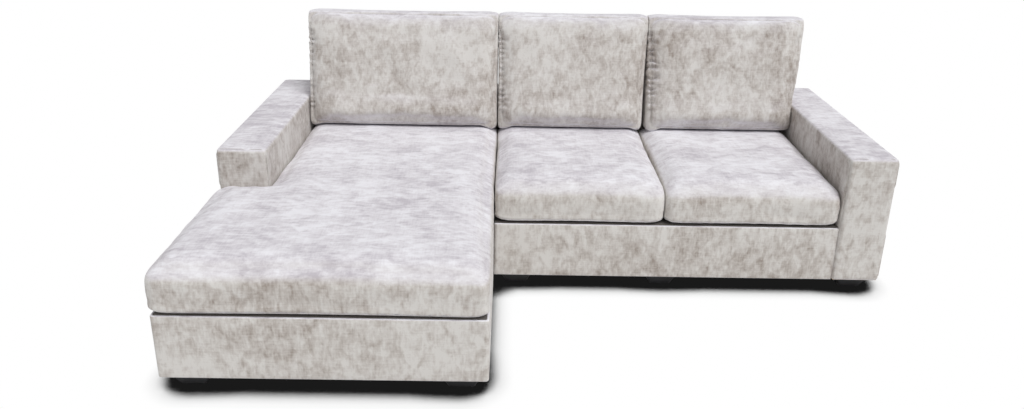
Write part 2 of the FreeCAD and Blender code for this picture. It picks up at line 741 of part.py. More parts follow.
def build_locating_plates():
    """Two steel plates under the inner rail of the two-seat unit, bored for the pins."""
    members = []
    for number, (x, y) in enumerate(PIN_SPOTS, start=1):
        body = doc.addObject("PartDesign::Body", "locating_plate_%d" % number)
        add_box(body, (
            ("pin_x - plate_reach", "sofa_side + board + plate_reach"),
            ("%s - plate_width / 2" % y, "%s + plate_width / 2" % y),
            ("foot_height - plate_thick", "foot_height"),
        ))

        def is_upright(edge):
            return edge.BoundBox.XLength < 0.01 and edge.BoundBox.YLength < 0.01

        round_edges(body, "plate_reach / 2", is_upright)
        drill(body, x, y, "foot_height - plate_thick - 1", "foot_height + 1", PIN_HOLE)
        members.append(body)
    group = doc.addObject("Part::Compound", "sofa_locating_plates")
    group.Links = members
    doc.recompute()
    return keep(group, "sofa_locating_plates")


FLAT = 1e-6                      # out of line or plane by less than this counts as straight, in mm


class Outline:
    """A closed outline with rounded corners and sides that draw in between them."""

    def __init__(self, corners, radii, draws):
        self.corners = corners
        self.radii = radii
        self.draws = draws

    def wire(self, to_space):
        """The outline as lines and arcs, each point placed by to_space(x, y)."""
        count = len(self.corners)
        entries, exits, middles = [], [], []
        for index, (corner, radius) in enumerate(zip(self.corners, self.radii)):
            before = (self.corners[index - 1] - corner).normalize()
            after = (self.corners[(index + 1) % count] - corner).normalize()
            entries.append(corner + before * radius)
            exits.append(corner + after * radius)
            middles.append(corner + (before + after) * radius * (1 - math.sqrt(0.5)))
        edges = []
        for index in range(count):
            following = (index + 1) % count
            edges.append(three_point_edge(entries[index], middles[index], exits[index], to_space))
            start, end = exits[index], entries[following]
            along = (end - start).normalize()
            inward = FreeCAD.Vector(-along.y, along.x, 0)
            bow = (start + end) / 2 + inward * self.draws[index]
            edges.append(three_point_edge(start, bow, end, to_space))
        return Part.Wire(edges)


def three_point_edge(start, middle, end, to_space):
    """An arc through three points, or a line where they are in line."""
    points = [to_space(point.x, point.y) for point in (start, middle, end)]
    chord = points[2] - points[0]
    height = (points[1] - points[0]).cross(chord).Length / chord.Length
    if height < 0.01:
        return Part.LineSegment(points[0], points[2]).toShape()
    return Part.Arc(points[0], points[1], points[2]).toShape()


def soft_profile(low_round, top_round, edge_height, crown, slope):
    """Stations up a cushion's side: (height, inset of the sides, how much they draw in).

    The first three turn the lower edge, the next three the upper edge, and the last two
    climb the crown between straight sides.
    """
    stations = []
    for angle, draw in ((0, 0.5), (45, 1), (90, 1)):
        turn = math.radians(angle)
        stations.append((low_round * (1 - math.cos(turn)), low_round * (1 - math.sin(turn)), draw))
    for angle, draw in ((90, 1), (55, 1), (20, 0)):
        turn = math.radians(angle)
        drop = top_round * (1 - math.cos(turn))
        stations.append((edge_height - drop, top_round * (1 - math.sin(turn)), draw))
    last = stations[-1][1]
    stations.append((edge_height + crown * 0.6, last + slope * 0.7, 0))
    stations.append((edge_height + crown, last + slope * 1.8, 0))
    return stations


def flat_copy(face):
    """A four-sided face with straight edges in one plane as a true plane, any other as it is."""
    points = [vertex.Point for vertex in face.OuterWire.OrderedVertexes]
    if len(points) != 4:
        return face
    for edge in face.Edges:
        ends = edge.Vertexes[0].Point - edge.Vertexes[-1].Point
        if edge.Length - ends.Length > FLAT:
            return face
    normal = (points[1] - points[0]).cross(points[2] - points[0]).normalize()
    if abs((points[3] - points[0]).dot(normal)) > FLAT:
        return face
    return Part.Face(Part.makePolygon(points + points[:1]))


def add_form(label, wires):
    """Loft a soft form through its sections and list it as a sub-part."""
    loft = Part.makeLoft(wires, True, True)
    shell = Part.makeShell([flat_copy(face) for face in loft.Faces])
    shell.sewShape()
    solid = Part.makeSolid(shell)
    if solid.Volume < 0:
        solid.reverse()
    form = doc.addObject("Part::Feature", label)
    form.Shape = solid
    return keep(form, label)


def inset_corners(sides, inset, rear_inset):
    """Corners of a seat cushion, anticlockwise from the front left, drawn in by the insets.

    sides holds left, right, front and rear, and for a notched cushion also the notch's
    x and y, whose corner takes the place of the rear left one.
    """
    left, right = sides["left"] + inset, sides["right"] - inset
    front, rear = sides["front"] + inset, sides["rear"] - rear_inset
    corners = [(left, front), (right, front), (right, rear)]
    if "notch_x" in sides:
        notch_x, notch_y = sides["notch_x"] + inset, sides["notch_y"] - inset
        corners += [(notch_x, rear), (notch_x, notch_y), (left, notch_y)]
    else:
        corners += [(left, rear)]
    return [FreeCAD.Vector(x, y, 0) for x, y in corners]


def make_seat_cushion(label, sides):
    """A crowned seat cushion; its rear slopes down under the back cushion."""
    stations = soft_profile(size("seat_low_round"), size("seat_top_round"), size("seat_edge"),
                            size("seat_crown"), size("seat_slope"))
    notched = "notch_x" in sides
    front, rear, draw = size("seat_corner"), size("seat_rear_corner"), size("seat_draw")
    if notched:
        radii = [front, front, rear, rear, rear, rear]
        draws = [draw, draw, 0, draw, 0, draw]
    else:
        radii = [front, front, rear, rear]
        draws = [draw, draw, 0, draw]
    tuck = size("back_edge") * 0.5
    wires = []
    for number, (height, inset, share) in enumerate(stations):
        crowned = number >= len(stations) - 2
        rear_inset = inset + tuck if crowned else inset
        corners = inset_corners(sides, inset, rear_inset)
        outline = Outline(corners, radii, [share * depth for depth in draws])
        z = place("seat_bottom") + height
        wires.append(outline.wire(lambda x, y: FreeCAD.Vector(x, y, z)))
    return add_form(label, wires)


def make_back_cushion(label, low_x, high_x):
    """A crowned back cushion that leans on the inside back.

    low_x and high_x are its left and right sides, each as (at the foot, at the top).
    """
    slope = math.atan(place("back_slope_y"))
    foot_z = place("seat_top") + size("rest_gap")
    foot_y = place("inside_back_low") + (foot_z - size("base_top")) * place("back_slope_y") - size("rest_gap")
    height, edge = size("back_height"), size("back_edge")
    stations = soft_profile(size("back_rear_round"), size("back_front_round"), edge,
                            size("back_crown"), size("back_slope"))
    low, high, draw = size("back_low_corner"), size("back_corner"), size("back_draw")

    def side_at(sides, up):
        return sides[0] + (sides[1] - sides[0]) * up / height

    wires = []
    for depth, inset, share in stations:
        # the top is square to the lean, so it falls away towards the rear
        top = height - (edge - depth) * math.sin(slope) - inset
        corners = [
            FreeCAD.Vector(side_at(low_x, inset) + inset, inset, 0),
            FreeCAD.Vector(side_at(high_x, inset) - inset, inset, 0),
            FreeCAD.Vector(side_at(high_x, top) - inset, top, 0),
            FreeCAD.Vector(side_at(low_x, top) + inset, top, 0),
        ]
        side_draw = share * draw
        outline = Outline(corners, [low, low, high, high], [0, side_draw, side_draw, side_draw])

        def lean(x, up):
            return FreeCAD.Vector(x, foot_y + up * math.sin(slope) - depth, foot_z + up * math.cos(slope))

        wires.append(outline.wire(lean))
    return add_form(label, wires)


def build_cushions():
    """The six loose cushions."""
    gap = size("cushion_gap")
    half_gap = gap / 2
    split, seat_joint, back_joint = place("split"), place("seat_joint"), place("back_joint")
    left_arm, right_arm = place("left_arm_inner"), place("right_arm_inner")
    rear = place("inside_back_low") - size("rest_gap")
    front = place("rail_face")
    make_seat_cushion("chaise_seat_cushion", {
        "left": place("left_face"), "right": split - half_gap,
        "front": place("chaise_front"), "rear": rear,
        "notch_x": left_arm + gap, "notch_y": place("arm_front") - gap,
    })
    make_seat_cushion("middle_seat_cushion", {
        "left": split + half_gap, "right": seat_joint - half_gap, "front": front, "rear": rear,
    })
    make_seat_cushion("right_seat_cushion", {
        "left": seat_joint + half_gap, "right": right_arm - gap, "front": front, "rear": rear,
    })
    tuck = size("back_tuck")
    make_back_cushion("left_back_cushion", (left_arm + gap + tuck, left_arm + gap),
                      (split - half_gap - tuck, split - half_gap))
    make_back_cushion("middle_back_cushion", (split + half_gap + tuck, split + half_gap),
                      (seat_joint - half_gap - tuck, back_joint - half_gap))
    make_back_cushion("right_back_cushion", (back_joint + half_gap + tuck, back_joint + half_gap),
                      (right_arm - gap - tuck, right_arm + size("back_overhang")))


def check_document():
    """Stop if any object failed or any sub-part's shape is empty or broken."""
    doc.recompute()
    for item in doc.Objects:
        if "Invalid" in item.State or "Error" in item.State:
            raise ValueError("%s failed: %s" % (item.Label, item.State))
    for item in parts:
        if item.Shape.isNull() or not item.Shape.isValid():
            raise ValueError(item.Label + " has no valid shape")


def export_parts():
    """Write one file for each sub-part."""
    os.makedirs("parts", exist_ok=True)
    for item in parts:
        item.Shape.exportStep("parts/%s.step" % item.Label)
        box = item.Shape.BoundBox
        print("%-26s %3d solids  x %7.1f %7.1f  y %7.1f %7.1f  z %6.1f %6.1f" % (
            item.Label, len(item.Shape.Solids), box.XMin, box.XMax, box.YMin, box.YMax, box.ZMin, box.ZMax))


build_chaise_base()
build_chaise_border()
build_chaise_arm_and_back()
build_sofa_base()
build_sofa_arm_and_back()
build_undersides()
build_cushions()
check_document()
export_parts()
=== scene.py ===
"""Looks of a sectional sofa with chaise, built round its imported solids.

Every cushion, arm, back and border is modelled as upholstery: closed padded forms with
seams and gathers, dressed in crushed chenille. The timber, webbing, feet and fittings keep
their solids and get finishes of their own. All lengths are in metres.
"""
from __future__ import annotations

import logging
import math
from contextlib import contextmanager
from dataclasses import dataclass, field
from enum import Enum
from typing import Callable, Iterable, Iterator, Optional, Sequence

import bmesh
import bpy
import numpy as np
from bpy.types import ID, Material, Mesh, Node, NodeSocket as Socket, NodeTree, Object
from mathutils import Matrix, Vector
from mathutils.bvhtree import BVHTree
from mathutils.kdtree import KDTree

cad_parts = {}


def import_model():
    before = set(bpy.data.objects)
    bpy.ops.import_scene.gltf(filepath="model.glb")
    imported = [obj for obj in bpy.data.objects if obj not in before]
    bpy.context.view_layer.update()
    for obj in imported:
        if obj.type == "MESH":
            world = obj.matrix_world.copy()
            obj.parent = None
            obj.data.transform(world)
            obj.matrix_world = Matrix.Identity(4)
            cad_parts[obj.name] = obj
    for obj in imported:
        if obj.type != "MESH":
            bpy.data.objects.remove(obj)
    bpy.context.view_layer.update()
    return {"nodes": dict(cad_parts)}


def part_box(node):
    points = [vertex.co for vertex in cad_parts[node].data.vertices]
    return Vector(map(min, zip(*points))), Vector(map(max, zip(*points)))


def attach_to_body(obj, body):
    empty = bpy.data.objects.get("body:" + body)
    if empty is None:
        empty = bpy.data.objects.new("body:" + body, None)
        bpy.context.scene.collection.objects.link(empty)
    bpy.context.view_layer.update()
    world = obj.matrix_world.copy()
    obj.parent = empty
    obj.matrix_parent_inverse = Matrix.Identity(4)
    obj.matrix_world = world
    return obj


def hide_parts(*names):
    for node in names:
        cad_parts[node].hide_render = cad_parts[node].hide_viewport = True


log = logging.getLogger("sofa")
Triple = tuple[float, float, float]
WAVE_AT_ONE = 0.3142            # length of one wave of the wave texture at scale 1, in metres
QUARTER_TURN = math.pi / 2


class Axis(Enum):
    """A direction of the shared frame."""

    X = 0
    Y = 1
    Z = 2


class Side(Enum):
    """Which arm it is, seen from the front."""

    LEFT = "left"
    RIGHT = "right"


# Colour and node helpers


def linear(code: str) -> tuple[float, float, float, float]:
    """Turn an sRGB hex colour into linear RGBA.

    Args:
        code: six hex digits.

    Returns:
        Linear red, green, blue and an alpha of 1.
    """
    channels = []
    for start in (0, 2, 4):
        value = int(code[start:start + 2], 16) / 255
        channels.append(value / 12.92 if value <= 0.04045 else ((value + 0.055) / 1.055) ** 2.4)
    return (channels[0], channels[1], channels[2], 1.0)


def add_node(tree: NodeTree, kind: str, settings: Optional[dict] = None, inputs: Optional[dict] = None,
             stops: Sequence[tuple[float, str]] = ()) -> Node:
    """Add a shader node with its settings, values, links and colour stops.

    Args:
        tree: the node tree.
        kind: the node's type name.
        settings: properties of the node.
        inputs: input sockets by name or index, each a value or another node's output.
        stops: (position, sRGB hex colour) pairs in rising order.

    Returns:
        The new node.
    """
    node = tree.nodes.new(kind)
    for name, value in (settings or {}).items():
        setattr(node, name, value)
    for name, value in (inputs or {}).items():
        if isinstance(value, Socket):
            tree.links.new(value, node.inputs[name])
        else:
            node.inputs[name].default_value = value
    for index, (position, code) in enumerate(stops):
        elements = node.color_ramp.elements
        element = elements[index] if index < 2 else elements.new(position)
        element.position = position
        element.color = linear(code)
    return node


def marks(tree: NodeTree, place: Socket, feature: float, stretch: Triple = (1.0, 1.0, 1.0),
          detail: float = 2.0, rough: float = 0.5, warp: float = 0.0) -> Socket:
    """Uneven marks of a real size, drawn out along each axis.

    Args:
        tree: the node tree.
        place: position in metres.
        feature: size of one mark, in metres.
        stretch: how many times longer than that it runs on X, Y and Z.
        detail: octaves.
        rough: strength of the finer octaves.
        warp: distortion.

    Returns:
        The pattern, from 0 to 1.
    """
    scale = tuple(1 / (feature * share) for share in stretch)
    mapping = add_node(tree, "ShaderNodeMapping", inputs={"Vector": place, "Scale": scale})
    return add_node(tree, "ShaderNodeTexNoise", inputs={
        "Vector": mapping.outputs["Vector"], "Scale": 1.0, "Detail": detail,
        "Roughness": rough, "Distortion": warp}).outputs["Fac"]


def weighed(tree: NodeTree, start: float, *parts: tuple[Socket, float]) -> Socket:
    """Add patterns together, each times its weight.

    Args:
        tree: the node tree.
        start: the sum without any pattern.
        parts: (pattern, weight) pairs.

    Returns:
        The sum.
    """
    total: Socket | float = start
    for pattern, weight in parts:
        total = add_node(tree, "ShaderNodeMath", {"operation": "MULTIPLY_ADD"},
                         {0: pattern, 1: weight, 2: total}).outputs[0]
    return total


# Finishes


@dataclass(frozen=True)
class Finish:
    """A procedural finish on one shader."""

    name: str

    def build(self) -> Material:
        """Make the material.

        Returns:
            The material, with the finish's pattern laid.
        """
        material = bpy.data.materials.new(self.name)
        material.use_nodes = True
        tree = material.node_tree
        self.lay(tree, tree.nodes["Principled BSDF"])
        return material

    def lay(self, tree: NodeTree, shader: Node) -> None:
        """Lay the finish's own pattern on the shader."""
        raise NotImplementedError

    @staticmethod
    def coat(tree: NodeTree, shader: Node, level: Socket, stops: Sequence[tuple[float, str]],
             gloss: Sequence[object] = (), relief: Sequence[object] = ()) -> None:
        """Give the shader its colours, its uneven gloss and its relief.

        Args:
            tree: the node tree.
            shader: the shader.
            level: the pattern of the colours.
            stops: (value, sRGB hex colour) pairs in rising order, or none where level is a colour.
            gloss: a pattern, two of its values, and the roughness at each.
            relief: a pattern of heights, the share that shows, and its depth in metres.
        """
        if stops:
            level = add_node(tree, "ShaderNodeValToRGB", inputs={"Fac": level}, stops=stops).outputs["Color"]
        tree.links.new(level, shader.inputs["Base Color"])
        if gloss:
            varied = add_node(tree, "ShaderNodeMapRange", {"interpolation_type": "SMOOTHSTEP"}, dict(zip(
                ("Value", "From Min", "From Max", "To Min", "To Max"), gloss)))
            tree.links.new(varied.outputs["Result"], shader.inputs["Roughness"])
        if relief:
            bump = add_node(tree, "ShaderNodeBump", inputs=dict(zip(
                ("Height", "Strength", "Distance"), relief)))
            tree.links.new(bump.outputs["Normal"], shader.inputs["Normal"])


@dataclass(frozen=True)
class CrushedChenille(Finish):
    """Crushed chenille upholstery: a tufted pile pressed in all directions.

    The eye sees cloudy patches where the pile lies over, upright blotches and streaks on the
    upright faces, and paler streaks that run across on the tops. The tops are painted lighter than
    the upright faces: partly the pile's nap, partly painted light on the tops and painted shade on the sides.
    """

    name: str = "crushed_chenille_silver_grey"
    # The three top tones are lighter than the four upright ones: painted light on the tops and painted shade
    # on the upright faces, partly the pile's nap.
    painted_lit_top: str = "ECEBF0"         # lightest top tone: painted light on the tops, partly the pile's nap
    pale: str = "DDDADF"
    hollow: str = "C2BDC4"
    face: str = "DBD8D4"          # upright faces, darker than the tops: painted shade, partly the pile seen against its nap
    body: str = "CDC8C3"
    warm: str = "BDB6B0"
    shade: str = "A1978F"
    lustre: str = "F2F0F4"        # the sheen of the fibre ends
    drift: float = 0.24           # slow changes of the pile, 240 mm
    patch: float = 0.040          # pressed patches, 40 mm
    mottle: float = 0.013         # smaller marks inside them, 13 mm
    slub: float = 0.006           # slubs, 6 mm wide
    thread: float = 0.0042        # chenille yarn of 2.5 mm, drawn at 4.2 mm so that it shows
    pile_depth: float = 0.0012

    def lay(self, tree: NodeTree, shader: Node) -> None:
        """Lay the pressed pile.

        Args:
            tree: the node tree.
            shader: the shader.
        """
        spot = add_node(tree, "ShaderNodeTexCoord")
        place = spot.outputs["Object"]
        facing = add_node(tree, "ShaderNodeSeparateXYZ", inputs={"Vector": spot.outputs["Normal"]})
        upward = add_node(tree, "ShaderNodeMath", {"operation": "ABSOLUTE"}, {0: facing.outputs["Z"]})
        topness = add_node(tree, "ShaderNodeMapRange", {"interpolation_type": "SMOOTHSTEP"}, {
            "Value": upward.outputs[0], "From Min": 0.2, "From Max": 1.0}).outputs["Result"]

        drift = marks(tree, place, self.drift, (1.3, 1.0, 1.0), warp=0.3)
        patch = self.by_facing(tree, place, topness, (1.0, 1.0, 1.5), (1.9, 1.0, 1.0), self.patch, 0.6)
        mottle = self.by_facing(tree, place, topness, (1.0, 1.0, 2.0), (2.4, 1.0, 1.0), self.mottle, 0.4)
        rising = self.by_facing(tree, place, topness, (1.0, 1.0, 8.0), (1.0, 7.0, 1.0), self.slub, 0.0)
        lying = self.by_facing(tree, place, topness, (6.0, 6.0, 0.8), (8.0, 1.0, 1.0), self.slub, 0.0)
        slubs = weighed(tree, 0.0, (rising, 0.5), (lying, 0.5))
        level = weighed(tree, -0.435, (patch, 0.62), (mottle, 0.38), (drift, 0.45), (slubs, 0.42))

        # Lit and shaded copies of one palette: the flat tones carry painted light, the upright tones painted
        # shade.
        upright = add_node(tree, "ShaderNodeValToRGB", inputs={"Fac": level}, stops=(
            (0.38, self.face), (0.50, self.body), (0.60, self.warm), (0.72, self.shade)))
        flat = add_node(tree, "ShaderNodeValToRGB", inputs={"Fac": level}, stops=(
            (0.36, self.painted_lit_top), (0.50, self.pale), (0.68, self.hollow)))
        # topness picks the painted-lit palette on the tops and the painted-shade palette on the sides.
        tone = add_node(tree, "ShaderNodeMix", {"data_type": "RGBA"}, {
            0: topness, 6: upright.outputs["Color"], 7: flat.outputs["Color"]})
        yarn = marks(tree, place, self.thread, detail=1.0)
        pile = weighed(tree, 0.0, (yarn, 0.5), (slubs, 1.0))
        self.coat(tree, shader, tone.outputs[2], (), (slubs, 0.35, 0.65, 0.92, 0.76),
                  (pile, 0.6, self.pile_depth))
        shader.inputs["Specular IOR Level"].default_value = 0.25
        shader.inputs["Sheen Weight"].default_value = 0.2
        shader.inputs["Sheen Roughness"].default_value = 0.45
        shader.inputs["Sheen Tint"].default_value = linear(self.lustre)

    @staticmethod
    def by_facing(tree: NodeTree, place: Socket, topness: Socket, upright: Triple, flat: Triple,
                  feature: float, warp: float) -> Socket:
        """Marks drawn out one way on upright faces and another way on flat ones.

        Args:
            tree: the node tree.
            place: position in metres.
            topness: 1 on flat faces and 0 on upright ones.
            upright: stretch on upright faces.
            flat: stretch on flat faces.
            feature: size of one mark, in metres.
            warp: distortion.

        Returns:
            The pattern.
        """
        standing, laid = (marks(tree, place, feature, way, 3.0, 0.55, warp) for way in (upright, flat))
        return add_node(tree, "ShaderNodeMix", {"data_type": "FLOAT"},
                        {0: topness, 2: standing, 3: laid}).outputs[0]


@dataclass(frozen=True)
class SawnPine(Finish):
    """Sawn pine boards: pale growth bands along the board and a few darker streaks."""

    name: str = "sawn_pine"
    early: str = "D9B98A"
    late: str = "B98C57"
    ring: float = 0.011           # growth bands 11 mm apart on a slash-sawn face
    length: float = 14.0          # how many times longer than wide the grain runs
    axis: Axis = Axis.X

    def lay(self, tree: NodeTree, shader: Node) -> None:
        """Lay the grain along the board.

        Args:
            tree: the node tree.
            shader: the shader.
        """
        place = add_node(tree, "ShaderNodeTexCoord").outputs["Object"]
        stretch = [1.0, 1.0, 1.0]
        stretch[self.axis.value] = self.length
        grain = marks(tree, place, self.ring, tuple(stretch), 4.0, 0.6, 0.6)
        fibre = marks(tree, place, self.ring / 7, tuple(stretch))
        self.coat(tree, shader, weighed(tree, 0.0, (grain, 0.8), (fibre, 0.2)),
                  ((0.35, self.early), (0.68, self.late)), (fibre, 0.2, 0.8, 0.62, 0.8),
                  (fibre, 0.4, 0.0004))


@dataclass(frozen=True)
class Plywood(Finish):
    """Rotary-cut plywood: broad wavy figure on the faces and thin layers on the edges."""

    name: str = "poplar_plywood"
    face: str = "D6BE98"
    dark: str = "A98B62"
    figure: float = 0.03          # waves of the figure, 30 mm
    layer: float = 0.0016         # veneers 1.6 mm thick

    def lay(self, tree: NodeTree, shader: Node) -> None:
        """Lay the figure and the layers.

        Args:
            tree: the node tree.
            shader: the shader.
        """
        place = add_node(tree, "ShaderNodeTexCoord").outputs["Object"]
        figure = marks(tree, place, self.figure, (1.0, 6.0, 2.0), 3.0, 0.5, 1.2)
        bands = add_node(tree, "ShaderNodeTexWave", {"bands_direction": "X"}, {
            "Vector": place, "Scale": WAVE_AT_ONE / self.layer, "Distortion": 0.3}).outputs["Fac"]
        self.coat(tree, shader, weighed(tree, 0.0, (figure, 0.75), (bands, 0.25)),
                  ((0.3, self.face), (0.75, self.dark)), (figure, 0.3, 0.7, 0.55, 0.72))


@dataclass(frozen=True)
class OpenCellFoam(Finish):
    """Slab-cut polyurethane foam: fine open cells that leave a soft pitted surface."""

    name: str = "open_cell_foam"
    tone: str = "E9DFBF"
    pit: str = "C9BB92"
    cell: float = 0.003           # cells of 1 mm, drawn at 3 mm so that they show
    yellowing: float = 0.09       # uneven yellowing, 90 mm

    def lay(self, tree: NodeTree, shader: Node) -> None:
        """Lay the cells and the yellowing.

        Args:
            tree: the node tree.
            shader: the shader.
        """
        place = add_node(tree, "ShaderNodeTexCoord").outputs["Object"]
        cells = add_node(tree, "ShaderNodeTexVoronoi", inputs={
            "Vector": place, "Scale": 1 / self.cell}).outputs["Distance"]
        tone = add_node(tree, "ShaderNodeValToRGB", inputs={"Fac": cells},
                        stops=((0.1, self.tone), (0.9, self.pit)))
        share = add_node(tree, "ShaderNodeMapRange", {"interpolation_type": "SMOOTHSTEP"}, {
            "Value": marks(tree, place, self.yellowing), "From Min": 0.4, "From Max": 0.7, "To Max": 0.3})
        aged = add_node(tree, "ShaderNodeMix", {"data_type": "RGBA"}, {
            0: share.outputs["Result"], 6: tone.outputs["Color"], 7: linear(self.pit)})
        shader.inputs["Roughness"].default_value = 0.95
        self.coat(tree, shader, aged.outputs[2], (), relief=(cells, 0.5, 0.0006))


@dataclass(frozen=True)
class WovenCloth(Finish):
    """A plain woven or bonded cloth: crossed yarns that catch the light in turn."""

    tone: str
    gap: str
    yarn: float                   # spacing of the yarns
    rough: float = 0.85
    relief: float = 0.0004
    wear: float = 0.05            # uneven wear, 50 mm

    def lay(self, tree: NodeTree, shader: Node) -> None:
        """Lay the crossed yarns.

        Args:
            tree: the node tree.
            shader: the shader.
        """
        place = add_node(tree, "ShaderNodeTexCoord").outputs["Object"]
        warp, weft = (add_node(tree, "ShaderNodeTexWave", {"bands_direction": direction}, {
            "Vector": place, "Scale": WAVE_AT_ONE / self.yarn, "Distortion": 0.4}).outputs["Fac"]
            for direction in ("X", "Y"))
        weave = add_node(tree, "ShaderNodeMath", {"operation": "MULTIPLY"}, {0: warp, 1: weft}).outputs[0]
        wear = marks(tree, place, self.wear, detail=3.0)
        self.coat(tree, shader, weighed(tree, 0.0, (weave, 0.6), (wear, 0.5)),
                  ((0.2, self.gap), (0.7, self.tone)), (wear, 0.3, 0.7, self.rough, self.rough - 0.12),
                  (weave, 0.5, self.relief))


@dataclass(frozen=True)
class MouldedPlastic(Finish):
    """Injection-moulded black plastic: a fine spark-eroded texture with a dull gloss."""

    name: str = "moulded_black_plastic"
    tone: str = "141416"
    worn: str = "26262A"
    grit: float = 0.0025          # texture of 0.5 mm, drawn at 2.5 mm so that it shows
    rub: float = 0.03             # rubbed patches, 30 mm

    def lay(self, tree: NodeTree, shader: Node) -> None:
        """Lay the texture and the rubbed patches.

        Args:
            tree: the node tree.
            shader: the shader.
        """
        place = add_node(tree, "ShaderNodeTexCoord").outputs["Object"]
        rub = marks(tree, place, self.rub, (1.0, 1.0, 2.0), 3.0, 0.6)
        self.coat(tree, shader, rub, ((0.45, self.tone), (0.8, self.worn)), (rub, 0.3, 0.8, 0.42, 0.6),
                  (marks(tree, place, self.grit), 0.3, 0.0002))


@dataclass(frozen=True)
class PlatedSteel(Finish):
    """Zinc-plated steel: a bright grey with a faint spangle and dull patches."""

    name: str = "zinc_plated_steel"
    tone: str = "C4C6C8"
    dulled: str = "9DA0A4"
    spangle: float = 0.004        # crystals of the zinc, 4 mm

    def lay(self, tree: NodeTree, shader: Node) -> None:
        """Lay the spangle.

        Args:
            tree: the node tree.
            shader: the shader.
        """
        place = add_node(tree, "ShaderNodeTexCoord").outputs["Object"]
        spangle = marks(tree, place, self.spangle, detail=3.0, rough=0.6)
        self.coat(tree, shader, spangle, ((0.35, self.tone), (0.7, self.dulled)),
                  (spangle, 0.3, 0.7, 0.28, 0.45))
        shader.inputs["Metallic"].default_value = 1.0


@dataclass(frozen=True)
class StudioFloor(Finish):
    """Pale studio floor: white to the camera, with a painted contact shadow where something touches it."""

    name: str = "pale_studio_floor"
    tone: str = "E4E4E4"
    reach: float = 0.12           # how far from a foot the painted contact shadow starts

    def lay(self, tree: NodeTree, shader: Node) -> None:
        """Lay the painted contact shadow, taken from ambient occlusion, on white.

        Args:
            tree: the node tree.
            shader: the shader.
        """
        shader.inputs["Base Color"].default_value = linear(self.tone)
        shader.inputs["Roughness"].default_value = 0.9
        path = add_node(tree, "ShaderNodeLightPath")
        # The camera sees emission only: the dark band under the base is painted shadow from ambient
        # occlusion, not the lamp's shadow.
        nearby = add_node(tree, "ShaderNodeAmbientOcclusion", {"samples": 24}, {"Distance": self.reach})
        shade = add_node(tree, "ShaderNodeValToRGB", inputs={"Fac": nearby.outputs["AO"]},
                         stops=((0.56, "1A1A1A"), (0.72, "EAEAEA"), (0.90, "FFFFFF")))
        floor_glow_with_painted_shadow = add_node(tree, "ShaderNodeEmission", inputs={"Color": shade.outputs["Color"], "Strength": 1.0})
        seen = add_node(tree, "ShaderNodeMixShader", inputs={
            0: path.outputs["Is Camera Ray"], 1: shader.outputs[0], 2: floor_glow_with_painted_shadow.outputs[0]})
        tree.links.new(seen.outputs[0], tree.nodes["Material Output"].inputs["Surface"])


# Mesh helpers


def into_scene(name: str, data: ID) -> Object:
    """Put a mesh, a lamp or a camera in the scene.

    Args:
        name: the object's name.
        data: what it shows.

    Returns:
        The object.
    """
    piece = bpy.data.objects.new(name, data)
    bpy.context.scene.collection.objects.link(piece)
    return piece


def mesh_object(name: str, points: np.ndarray, faces: Iterable[Sequence[int]]) -> Object:
    """Make a smooth-shaded mesh object.

    Args:
        name: the piece's name.
        points: positions, one row each.
        faces: vertex indices of each face.

    Returns:
        The object, linked to the scene.
    """
    mesh = bpy.data.meshes.new(name)
    mesh.from_pydata([tuple(point) for point in points], [], [tuple(face) for face in faces])
    mesh.update()
    mesh.polygons.foreach_set("use_smooth", [True] * len(mesh.polygons))
    return into_scene(name, mesh)


@contextmanager
def edited(mesh: Mesh) -> Iterator[bmesh.types.BMesh]:
    """Open a mesh for editing and write it back afterwards.

    Args:
        mesh: the mesh.

    Yields:
        The mesh in its editable form.
    """
    form = bmesh.new()
    form.from_mesh(mesh)
    yield form
    form.to_mesh(mesh)
    form.free()


def joined_copy(node: str) -> Mesh:
    """Copy a solid's mesh and join its split corners.

    Args:
        node: the solid's node.

    Returns:
        The copy.
    """
    source = bpy.data.objects[node].data.copy()
    with edited(source) as form:
        bmesh.ops.remove_doubles(form, verts=form.verts, dist=2e-5)
    return source


def per_vertex(mesh: Mesh, what: str) -> np.ndarray:
    """Read a vector of every vertex.

    Args:
        mesh: the mesh.
        what: co for its position, normal for its outward direction.

    Returns:
        One row for each vertex.
    """
    flat = np.empty(len(mesh.vertices) * 3)
    mesh.vertices.foreach_get(what, flat)
    return flat.reshape(-1, 3)


def surface(piece: Object) -> tuple[np.ndarray, np.ndarray]:
    """Positions and normals of a piece's vertices, one row each."""
    return per_vertex(piece.data, "co"), per_vertex(piece.data, "normal")


def set_positions(piece: Object, points: np.ndarray) -> None:
    """Write vertex positions back to a piece."""
    piece.data.vertices.foreach_set("co", points.astype(np.float32).ravel())
    piece.data.update()


def reshape(piece: Object, kind: str, **settings: object) -> None:
    """Run one modifier on a piece and keep the result.

    Args:
        piece: the piece.
        kind: the modifier's type.
        settings: its properties.
    """
    modifier = piece.modifiers.new(kind.lower(), kind)
    for name, value in settings.items():
        setattr(modifier, name, value)
    graph = bpy.context.evaluated_depsgraph_get()
    mesh = bpy.data.meshes.new_from_object(piece.evaluated_get(graph))
    old = piece.data
    piece.modifiers.clear()
    piece.data = mesh
    bpy.data.meshes.remove(old)
    mesh.polygons.foreach_set("use_smooth", [True] * len(mesh.polygons))


def refine(piece: Object, share: Callable[[np.ndarray], np.ndarray]) -> None:
    """Halve the mesh's edges wherever a share is above zero.

    Args:
        piece: the piece.
        share: gives a share from 0 to 1 for each position.
    """
    wanted = share(per_vertex(piece.data, "co")) > 0.01
    with edited(piece.data) as form:
        edges = [edge for edge in form.edges
                 if wanted[edge.verts[0].index] and wanted[edge.verts[1].index]]
        bmesh.ops.subdivide_edges(form, edges=edges, cuts=1, use_grid_fill=True, smooth=0.6)
    piece.data.polygons.foreach_set("use_smooth", [True] * len(piece.data.polygons))


